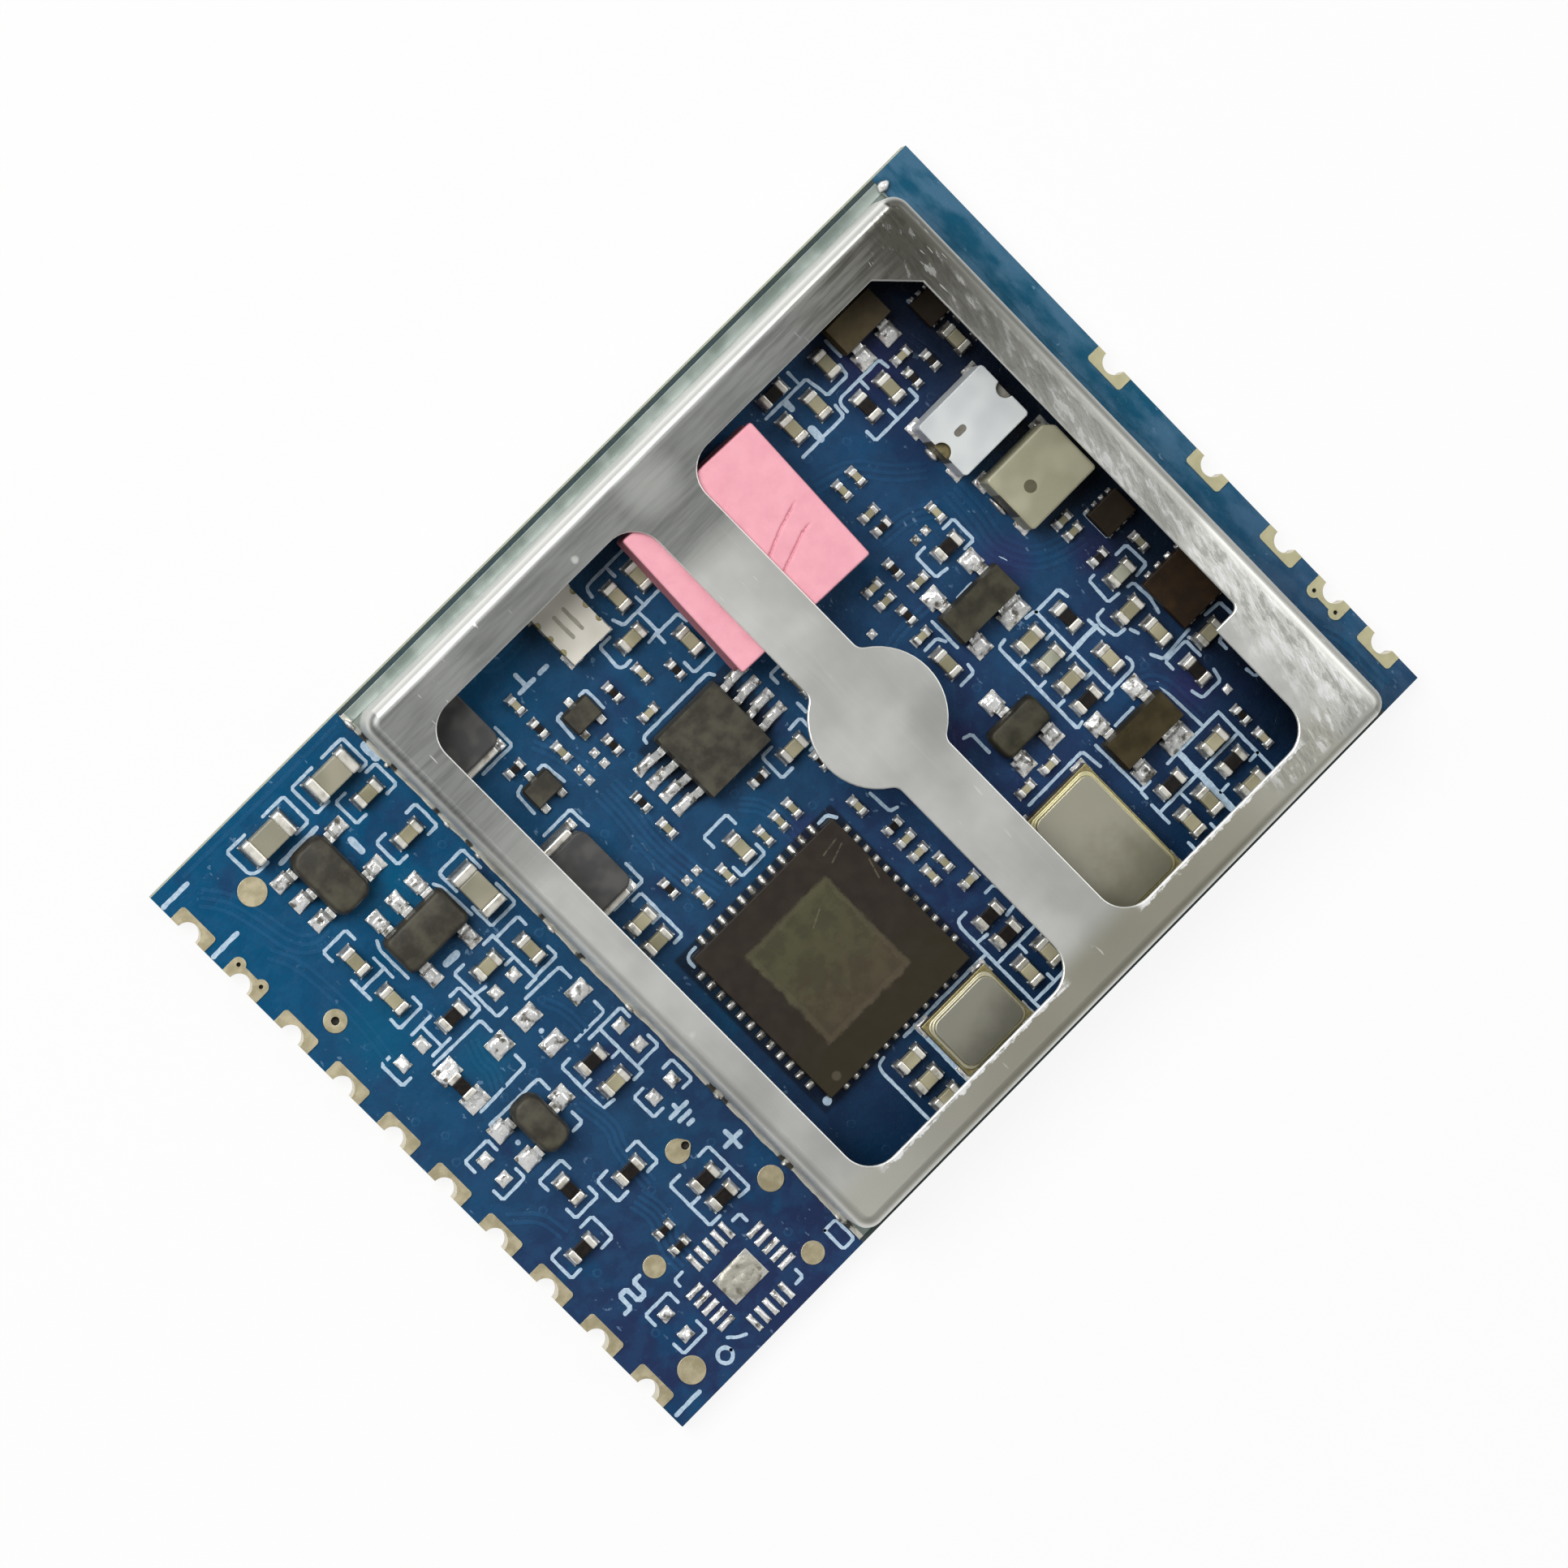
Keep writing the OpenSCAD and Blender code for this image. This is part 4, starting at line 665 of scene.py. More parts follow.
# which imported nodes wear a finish, and how far their edges are rounded, in mm; the others are leads
dress = {
    "mask": {"circuit_board": 0.0},
    "gold": {"front_contacts": 0.015, "rear_contacts": 0.015, "test_pads": 0.015},
    "strip": {"ground_strip": 0.02},
    "land": {"strip_lands": 0.015, "shielded_lands": 0.015, "tuner_contacts": 0.01},
    "dim": {"decoder_contacts": 0.01},
    "shield": {"shield_frame": 0.045},
    "pad": {"thermal_pad": 0.0},
    "decoder": {"decoder_chip": 0.04},
    "mould": {"tuner_chip": 0.05, "video_amp": 0.08, "detector_chips": 0.05, "regulator_upper": 0.0,
              "regulator_lower": 0.0, "strip_transistor": 0.0},
    "darkMould": {"first_radio_amp": 0.07, "switch_transistor": 0.0},
    "brown": {"second_radio_amp": 0.07},
    "tan": {"corner_transistor": 0.13},
    "deepBrown": {"antenna_switch": 0.04, "mixer_chip": 0.04},
    "russet": {"divider_chip": 0.04},
    "white": {"band_filter_upper": 0.09},
    "grey": {"band_filter_lower": 0.09},
    "base": {"oscillator_base": 0.03, "crystal_base": 0.03},
    "tallLid": {"oscillator_lid": 0.04},
    "lowLid": {"crystal_lid": 0.04},
    "balun": {"balun": 0.05},
    "ferrite": {"power_inductors": 0.08},
    "bulk": {"bulk_capacitors": 0.05},
    "capacitor": {"strip_capacitors": 0.04, "shielded_capacitors": 0.04, "small_capacitors": 0.02},
    "glaze": {"strip_resistors": 0.02, "shielded_resistors": 0.02, "small_resistors": 0.015},
    "inductor": {"chip_inductors": 0.04},
    "cap": {"power_inductor_caps": 0.06, "bulk_capacitor_caps": 0.07, "strip_capacitor_caps": 0.05,
            "shielded_capacitor_caps": 0.05, "strip_resistor_caps": 0.05, "shielded_resistor_caps": 0.05,
            "chip_inductor_caps": 0.05},
    "spark": {"small_capacitor_caps": 0.035, "small_resistor_caps": 0.03},
}
worn = {node: (finish, rounding) for finish, group in dress.items() for node, rounding in group.items()}
edgeLook = {"leads": 0.03, "weld": 0.001, "flatAngle": 0.5, "edgeAngle": 40, "broad": 0.1}


def dressNode(name):
    look = edgeLook
    finish, rounding = worn.get(name, ("lead", look["leads"]))
    piece = nodes[name]
    piece.data.materials.clear()
    piece.data.materials.append(finishes[finish])
    weld = piece.modifiers.new("weld", "WELD")
    weld.merge_threshold = look["weld"] * mm
    if not rounding:
        return
    flat = piece.modifiers.new("flat", "DECIMATE")
    flat.decimate_type = "DISSOLVE"
    flat.angle_limit = math.radians(look["flatAngle"])
    edge = piece.modifiers.new("edge", "BEVEL")
    edge.width = rounding * mm
    edge.segments = 3 if rounding > look["broad"] else 2
    edge.limit_method = "ANGLE"
    edge.angle_limit = math.radians(look["edgeAngle"])
    edge.harden_normals = False
    edge.use_clamp_overlap = True


for nodeName in sorted(nodes):
    dressNode(nodeName)
print("nodes dressed:", len(nodes))


def looseSolids(name):
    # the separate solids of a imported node, each as its points in mm
    mesh = nodes[name].data
    flat = np.empty(len(mesh.vertices) * 3)
    mesh.vertices.foreach_get("co", flat)
    spots, index = np.unique(np.round(flat.reshape(-1, 3) / mm, 4), axis=0, return_inverse=True)
    index = index.ravel()
    parent = list(range(len(spots)))

    def top(i):
        while parent[i] != i:
            parent[i] = parent[parent[i]]
            i = parent[i]
        return i

    for polygon in mesh.polygons:
        corners = [top(index[v]) for v in polygon.vertices]
        for other in corners[1:]:
            parent[top(other)] = top(corners[0])
    groups = {}
    for i in range(len(spots)):
        groups.setdefault(top(i), []).append(spots[i])
    return [np.array(groups[key]) for key in sorted(groups)]


def footBox(points, depth):
    # x0, y0, x1, y1 of the part of a solid within depth of its lowest point, and its whole height
    low = points[points[:, 2] <= points[:, 2].min() + depth]
    return (*low[:, :2].min(0), *low[:, :2].max(0), points[:, 2].max())


def newPiece(name, bm, finish, sharp=40):
    for vert in bm.verts:
        vert.co *= mm
    bmesh.ops.recalc_face_normals(bm, faces=bm.faces)
    mesh = bpy.data.meshes.new(name)
    bm.to_mesh(mesh)
    bm.free()
    mesh.polygons.foreach_set("use_smooth", [True] * len(mesh.polygons))
    mesh.set_sharp_from_angle(angle=math.radians(sharp))
    mesh.materials.append(finishes[finish])
    piece = bpy.data.objects.new(name, mesh)
    bpy.context.scene.collection.objects.link(piece)
    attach(piece, "root")
    print("made", name, len(mesh.polygons), "faces")
    return piece


def bridge(bm, lower, upper):
    # a band of faces between two rings of points
    for k in range(len(lower)):
        s = (k + 1) % len(lower)
        bm.faces.new((lower[k], lower[s], upper[s], upper[k]))


def addStack(bm, rings):
    # a closed solid from rings of points, the lowest first
    for lower, upper in zip(rings, rings[1:]):
        bridge(bm, lower, upper)
    bm.faces.new(rings[0][::-1])
    bm.faces.new(rings[-1])


def gridSkin(bm, rows):
    # faces over a grid of points; gives back the points round its edge
    for near, far in zip(rows, rows[1:]):
        for i in range(len(near) - 1):
            bm.faces.new((near[i], near[i + 1], far[i + 1], far[i]))
    return (rows[0][:] + [row[-1] for row in rows[1:]]
            + rows[-1][-2::-1] + [row[0] for row in rows[-2:0:-1]])


def addPatch(bm, xs, ys, heights, base):
    # a closed low mound: a grid of heights over xs, ys with a flat foot at base
    rows = [[bm.verts.new((x, y, z)) for x, z in zip(xs, line)] for y, line in zip(ys, heights)]
    rim = gridSkin(bm, rows)
    foot = [bm.verts.new((v.co.x, v.co.y, base)) for v in rim]
    bridge(bm, foot, rim)
    bm.faces.new(foot[::-1])


def softStep(value):
    value = min(max(value, 0.0), 1.0)
    return value * value * (3 - 2 * value)


def insideRound(x, y, box, corner):
    # how far a point lies inside a rectangle with rounded corners
    x0, y0, x1, y1 = box
    dx = abs(x - (x0 + x1) / 2) - (x1 - x0) / 2 + corner
    dy = abs(y - (y0 + y1) / 2) - (y1 - y0) / 2 + corner
    return corner - math.hypot(max(dx, 0), max(dy, 0)) - min(max(dx, dy), 0)


def lumps(x, y, scale, seed):
    return noise.noise(Vector((x * scale, y * scale, seed)))


# solder on the lands, in mm: cell of its grid, thickness of the film and of a bare cushion, its ripples;
# climb is the share of a terminal's height that it covers
solderLook = {
    "cell": 0.05, "leastCells": 9, "film": 0.018, "thinnest": 0.006, "dome": 0.15, "ripple": 0.04,
    "climb": 0.72, "leadClimb": 0.95, "leadFoot": 0.16, "footDepth": 0.12, "rim": 0.09, "scale": 2.4,
    "broad": 1.1, "reach": 0.14,
}


def addSolder(bm, land, ends, seed):
    # land: x0, y0, x1, y1; ends: terminals that stand on it, as boxes with their height and climb
    look = solderLook
    x0, y0, x1, y1 = land
    xs, ys = [np.linspace(a, b, max(look["leastCells"], int((b - a) / look["cell"])) + 1)
              for a, b in ((x0, x1), (y0, y1))]
    span = min(x1 - x0, y1 - y0)
    rim = min(look["rim"], span * 0.3)
    corner = span * (0.3 if ends else 0.45)

    def riseAt(x, y):
        rise = look["film"] + look["ripple"] * 0.5 * (lumps(x, y, look["scale"], seed) + 0.4)
        if not ends:
            # a bare land carries a low round cushion, a broad one only a ruffled film
            u, v = abs(2 * x - x0 - x1) / (x1 - x0), abs(2 * y - y0 - y1) / (y1 - y0)
            cushion = math.sqrt(max(0.0, (1 - u ** 4) * (1 - v ** 4)))
            full = look["dome"] * min(span, 1.0) if span < look["broad"] else look["film"]
            full *= 1 + 0.8 * lumps(x, y, 2.6, seed + 4)
            rise += cushion * (full + look["ripple"] * lumps(x, y, 3.2, seed + 9))
        for a0, b0, a1, b1, height, climb in ends:
            away = math.hypot(max(a0 - x, x - a1, 0), max(b0 - y, y - b1, 0))
            reach = (look["reach"] + 0.25 * span) * (1 + 0.35 * lumps(x, y, 4.0, seed + 2))
            fillet = (height - landTop) * climb * max(0, 1 - away / reach) ** 2
            rise = max(rise, fillet + look["film"])
        return max(rise, look["thinnest"])

    heights = [[landTop - sunk + riseAt(x, y) * softStep(insideRound(x, y, land, corner) / rim) for x in xs]
               for y in ys]
    addPatch(bm, xs, ys, heights, landTop - 2 * sunk)


def solderPiece(name, landNodes, standNodes, seed, finish="solder", broad=False):
    # broad picks the wide bare lands, which are only thinly tinned
    look = solderLook
    ends = []
    for node in standNodes:
        leads = node.endswith("_leads")
        for points in looseSolids(node):
            *foot, height = footBox(points, look["footDepth"])
            if leads:
                height = points[:, 2].min() + look["leadFoot"]
            ends.append((*foot, height, look["leadClimb"] if leads else look["climb"]))
    bm = bmesh.new()
    lands = [footBox(points, 1.0)[:4] for node in landNodes for points in looseSolids(node)]
    for count, land in enumerate(lands):
        x0, y0, x1, y1 = land
        here = [e for e in ends if x0 - 0.02 < (e[0] + e[2]) / 2 < x1 + 0.02
                and y0 - 0.02 < (e[1] + e[3]) / 2 < y1 + 0.02]
        wide = not here and min(x1 - x0, y1 - y0) >= look["broad"]
        if wide == broad:
            addSolder(bm, land, here, seed + count * 0.37)
    return newPiece(name, bm, finish, 70)


standing = sorted(n for n in nodes if n.endswith("_caps") or n.endswith("_leads"))
solderPiece("strip_solder", ["strip_lands"], standing, 2.0)
solderPiece("shielded_solder", ["shielded_lands"], standing, 40.0)
solderPiece("spare_pad_film", ["strip_lands"], standing, 5.0, "dull", True)

contactLook = {"rise": 0.13, "inset": 0.05}


def contactSolder(name, landNode, chipNode, seed):
    # small bright fillets where the contacts come out from under a flat chip, narrower than the contacts
    low, high = boxOf(chipNode)
    end = (low.x, low.y, high.x, high.y, landTop + contactLook["rise"], 1.0)
    inset = contactLook["inset"]
    bm = bmesh.new()
    for k, points in enumerate(looseSolids(landNode)):
        x0, y0, x1, y1 = footBox(points, 1.0)[:4]
        inX, inY = (inset, 0) if x1 - x0 < y1 - y0 else (0, inset)
        addSolder(bm, (x0 + inX, y0 + inY, x1 - inX, y1 - inY), [end], seed + k * 0.61)
    return newPiece(name, bm, "solder", 70)


contactSolder("decoder_solder", "decoder_contacts", "decoder_chip", 11.0)

# sides of the shield in turn: -Y, +X, +Y, -X; how high, how wide and how uneven the solder lies there
beadLook = {
    "step": 0.09, "least": 0.02, "film": 0.002, "sink": 0.006, "root": 0.02, "scale": 1.3, "fineScale": 5.0,
    "rows": 6, "sides": [(0.1, 0.55, 0.3), (0.14, 0.6, 0.5), (0.07, 0.7, 0.15), (0.2, 1.25, 0.6)],
}


def between(first, second, share):
    return [a + (b - a) * share for a, b in zip(first, second)]


def shieldBead(name):
    # uneven solder that ties the foot of the shield wall to the ground strip
    look = beadLook
    inner, outer = [[(low.x, low.y), (high.x, low.y), (high.x, high.y), (low.x, high.y)]
                    for low, high in (boxOf("shield_frame"), boxOf("ground_strip"))]
    shares = [r / (look["rows"] - 1) for r in range(look["rows"])]
    bm = bmesh.new()
    rings = []
    for side, (high, wide, uneven) in enumerate(look["sides"]):
        after = (side + 1) % 4
        count = int(math.dist(inner[side], inner[after]) / look["step"])
        for k in range(count):
            near = between(inner[side], inner[after], k / count)
            far = between(outer[side], outer[after], k / count)
            wave, fine = lumps(*near, look["scale"], 3.7), lumps(*near, look["fineScale"], 9.1)
            rise = max(look["least"], high * (0.6 + uneven * (0.9 * wave + 0.35 * fine)))
            spread = wide * (1 + uneven * (0.5 * wave + 0.2 * fine))
            ring = [(*between(near, far, u * spread), landTop + look["film"] + rise * (1 - u) ** 2.2)
                    for u in shares]
            # the bead's outer foot, and its root in the wall
            ring += [(*between(near, far, u), landTop - look["sink"]) for u in (spread, -look["root"])]
            rings.append([bm.verts.new(point) for point in ring])
    for ring, following in zip(rings, rings[1:] + rings[:1]):
        bridge(bm, ring, following)
    return newPiece(name, bm, "bead", 60)


shieldBead("shield_solder")


def ringOf(bm, x, y, z, halfX, halfY, count, seed=None):
    # a level ring of points round a spot; a seed makes it a little uneven
    ring = []
    for k in range(count):
        c, s = math.cos(2 * math.pi * k / count), math.sin(2 * math.pi * k / count)
        swell = 1 if seed is None else 1 + 0.18 * lumps(c, s, 1.5, seed)
        ring.append(bm.verts.new((x + halfX * swell * c, y + halfY * swell * s, z)))
    return ring


def addDome(bm, x, y, halfX, halfY, high, seed):
    # a solder ball or blob that sits on the board
    levels, around = 5, 14
    turns = [math.pi / 2 * k / levels for k in range(levels)]
    rings = [ringOf(bm, x, y, boardTop - sunk + high * math.sin(t), halfX * math.cos(t), halfY * math.cos(t),
                    around, seed) for t in turns]
    crown = bm.verts.new((x, y, boardTop + high))
    for lower, upper in zip(rings, rings[1:]):
        bridge(bm, lower, upper)
    for a in range(around):
        bm.faces.new((rings[-1][a], rings[-1][(a + 1) % around], crown))
    bm.faces.new(rings[0][::-1])


# stray solder: x, y, half its length along X and Y, height
strayLook = [
    (-9.68, 10.72, 0.1, 0.1, 0.2), (-9.62, 12.62, 0.11, 0.26, 0.3), (-9.66, 7.75, 0.08, 0.16, 0.18),
    (-9.66, 6.2, 0.08, 0.13, 0.16), (-9.66, 2.55, 0.08, 0.2, 0.2), (-9.66, -1.4, 0.08, 0.22, 0.18),
    (-9.66, -5.82, 0.1, 0.12, 0.22), (-9.66, -9.2, 0.1, 0.1, 0.2), (-9.66, -12.0, 0.07, 0.2, 0.16),
    (17.14, 12.8, 0.28, 0.2, 0.3), (11.72, 4.85, 0.12, 0.3, 0.3), (12.12, 1.85, 0.09, 0.4, 0.3),
]


def strayPiece(name):
    bm = bmesh.new()
    for k, (x, y, halfX, halfY, high) in enumerate(strayLook):
        addDome(bm, x, y, halfX, halfY, high, k * 1.7)
    return newPiece(name, bm, "solder", 60)


strayPiece("stray_solder")
print("solder made")


def smoothPath(points, rounds):
    # corners of a line cut again and again until they curve
    for turn in range(rounds):
        cut = [points[0]]
        for here, after in zip(points, points[1:]):
            cut += [between(here, after, 0.25), between(here, after, 0.75)]
        points = cut + [points[-1]]
    return points


def spacedPath(points, step):
    path = [points[0]]
    for here, after in zip(points, points[1:]):
        count = max(1, round(math.dist(here, after) / step))
        path += [between(here, after, k / count) for k in range(1, count + 1)]
    return path


def roundEnd(centre, start, end):
    # half round from start to end about centre, on the outer side
    first = math.atan2(start[1] - centre[1], start[0] - centre[0])
    reach = (math.dist(start, centre) + math.dist(end, centre)) / 2
    turns = [first + math.pi * k / 5 for k in range(1, 5)]
    return [(centre[0] + reach * math.cos(t), centre[1] + reach * math.sin(t)) for t in turns]


def addRibbon(bm, path, width, low, high, wear=0.0, seed=0.0):
    # a flat closed band along a path, with round ends and an edge that may waver
    lefts, rights = [], []
    last = len(path) - 1
    for k, (x, y) in enumerate(path):
        ax, ay = path[max(k - 1, 0)]
        bx, by = path[min(k + 1, last)]
        dx, dy = bx - ax, by - ay
        run = math.hypot(dx, dy) or 1.0
        nx, ny = -dy / run, dx / run
        bend = 1.0
        if 0 < k < last:
            # widen at a corner so that the band keeps its width
            ex, ey = x - ax, y - ay
            part = math.hypot(ex, ey) or 1.0
            bend = max(0.6, abs((ex * dx + ey * dy) / (part * run)))
        toLeft, toRight = [width / 2 / bend * (1 + wear * lumps(x, y, 4.1, start))
                           for start in (seed, seed + 7.7)]
        lefts.append((x + nx * toLeft, y + ny * toLeft))
        rights.append((x - nx * toRight, y - ny * toRight))
    endCap = roundEnd(path[-1], rights[-1], lefts[-1])
    startCap = roundEnd(path[0], lefts[0], rights[0])
    outline = rights + endCap + lefts[::-1] + startCap
    tops, feet = [[bm.verts.new((x, y, z)) for x, y in outline] for z in (high, low)]
    count, leftFrom = len(path), len(path) + len(endCap)
    for level, turn in ((tops, 1), (feet, -1)):
        right, left = level[:count], level[leftFrom:leftFrom + count][::-1]
        for k in range(last):
            bm.faces.new([right[k], right[k + 1], left[k + 1], left[k]][::turn])
        bm.faces.new([right[-1], *level[count:leftFrom], left[-1]][::turn])
        bm.faces.new([left[0], *level[leftFrom + count:], right[0]][::turn])
    bridge(bm, feet, tops)


def addDot(bm, x, y, radius, low, high, dish=0.0):
    # a small round of ink or resin with a soft edge; dish lowers its middle
    levels = [(1.0, low), (1.0, low + (high - low) * 0.6), (0.86, high), (0.45, high - dish)]
    addStack(bm, [ringOf(bm, x, y, z, radius * share, radius * share, 20) for share, z in levels])


# printed lines, in mm: wear of their edges, rounding of their corners, lifts that keep crossings apart
legendLook = {
    "width": 0.125, "thick": 0.014, "wear": 0.35, "step": 0.14, "corner": 0.07, "lift": 0.0007, "lifts": 7,
    "dotLift": 0.006,
}

# each line is x, y, x, y ... and may start with its own width; cupX and cupY are three sides of a rectangle
# from corner to corner, open along X or along Y
stripOutlines = [
    ("wide", 0.18, -18.65, 12.7, -17.5, 12.7), ("wide", 0.18, -18.65, 10.25, -17.5, 10.25),
    ("wide", 0.16, -18.6, -12.8, -17.45, -12.8),
    (-14.9, 12.5, -15.75, 12.5, -15.75, 11.45, -15.55, 11.25, -15.0, 11.25),
    (-14.0, 12.5, -13.0, 12.5, -13.0, 11.25, -13.6, 11.25),
    (-11.6, 12.5, -12.6, 12.5, -12.6, 11.25, -12.0, 11.25),
    (-11.1, 12.5, -10.1, 12.5, -10.1, 11.25, -10.5, 11.25), ("cupX", -11.4, 11.05, -11.85, 10.0),
    ("cupX", -10.35, 11.05, -9.9, 10.0), ("cupX", -11.4, 9.05, -11.85, 7.97),
    ("cupX", -10.35, 9.05, -9.9, 7.97), ("cupY", -11.05, 5.85, -9.87, 6.75),
    ("cupY", -11.05, 5.05, -9.87, 4.1), ("cupY", -15.85, 7.2, -14.75, 7.65), (-15.85, 6.25, -15.85, 5.3),
    (-14.75, 6.25, -14.75, 5.3), (-15.85, 5.75, -14.75, 5.75), ("cupY", -15.85, 4.3, -14.75, 3.85),
    ("wide", 0.18, -14.7, 10.9, -12.95, 10.9), ("wide", 0.26, -12.4, 9.75, -12.4, 9.2),
    (-14.25, 6.6, -14.4, 6.3, -14.4, 4.9), (-11.45, 6.6, -11.3, 6.3, -11.25, 4.9),
    ("wide", 0.3, -13.1, 4.3, -12.6, 4.3), ("cupX", -16.8, 3.4, -17.2, 2.35), (-15.7, 3.4, -14.8, 3.4),
    (-15.7, 2.35, -14.85, 2.35), (-15.25, 2.35, -15.25, 3.4), ("cupX", -13.8, 3.4, -13.35, 2.35),
    ("cupX", -12.7, 3.85, -13.15, 1.7), (-13.35, 2.85, -12.7, 2.75), (-11.25, 1.7, -11.25, 3.85),
    (-11.7, 3.85, -11.25, 3.85), (-11.65, 2.8, -11.25, 2.8), (-11.7, 1.7, -11.25, 1.7),
    (-11.25, 3.7, -10.15, 3.7, -10.15, 3.3), (-11.25, 1.75, -10.15, 1.75, -10.15, 2.2),
    (-15.9, 2.1, -13.65, 2.05, -13.65, 1.5), (-15.9, -0.25, -13.65, -0.2, -13.65, 0.3),
    (-12.0, 1.45, -10.35, 1.4, -10.35, 0.85), (-11.8, -0.85, -10.35, -0.85, -10.35, -0.35),
    (-16.0, -0.8, -13.65, -0.85, -13.65, -1.4), (-14.1, -3.05, -13.65, -3.05, -13.65, -2.55),
    ("cupY", -17.55, -1.6, -16.45, -1.1), ("cupY", -17.55, -2.55, -16.45, -3.0),
    (-12.4, -1.15, -12.8, -1.15, -12.8, -3.25, -12.3, -3.3), (-12.8, -2.2, -12.4, -2.2),
    (-11.4, -1.15, -9.85, -1.15, -9.85, -1.6), (-10.9, -1.15, -10.9, -3.3), (-11.3, -2.2, -10.9, -2.2),
    (-11.3, -3.3, -10.9, -3.3), (-10.9, -3.05, -9.85, -3.05, -9.85, -2.55),
    ("cupY", -16.2, -3.9, -15.1, -3.45), ("cupY", -16.2, -4.85, -15.1, -5.3),
    ("cupX", -14.25, -4.9, -14.75, -5.95), ("cupX", -13.25, -4.9, -12.75, -5.95),
    ("cupX", -11.3, -3.75, -11.75, -4.75), ("cupX", -10.3, -3.75, -9.85, -4.75),
    ("cupX", -17.35, -5.65, -17.8, -6.7), ("cupX", -16.3, -5.65, -15.75, -6.7),
    ("cupX", -12.55, -6.85, -13.05, -8.9), (-13.05, -7.9, -12.6, -7.9),
    (-11.6, -6.85, -11.1, -6.85, -11.1, -8.95, -11.6, -8.9), (-11.6, -7.9, -11.1, -7.9),
    (-14.9, -9.35, -15.3, -9.35, -15.3, -9.65), (-12.35, -9.35, -12.0, -9.35, -12.0, -9.7),
    (-15.4, -12.15, -15.15, -12.4, -14.85, -12.55), (-12.0, -12.2, -12.0, -12.55, -12.35, -12.55),
    ("cupY", -16.9, -10.0, -15.75, -9.5), ("cupY", -16.9, -10.95, -15.75, -11.45),
    (-10.3, -11.95, -9.75, -11.95, -9.75, -12.9, -10.3, -12.9, -10.3, -11.95),
    ("wide", 0.38, -9.72, 11.2, -9.72, 11.7),
]
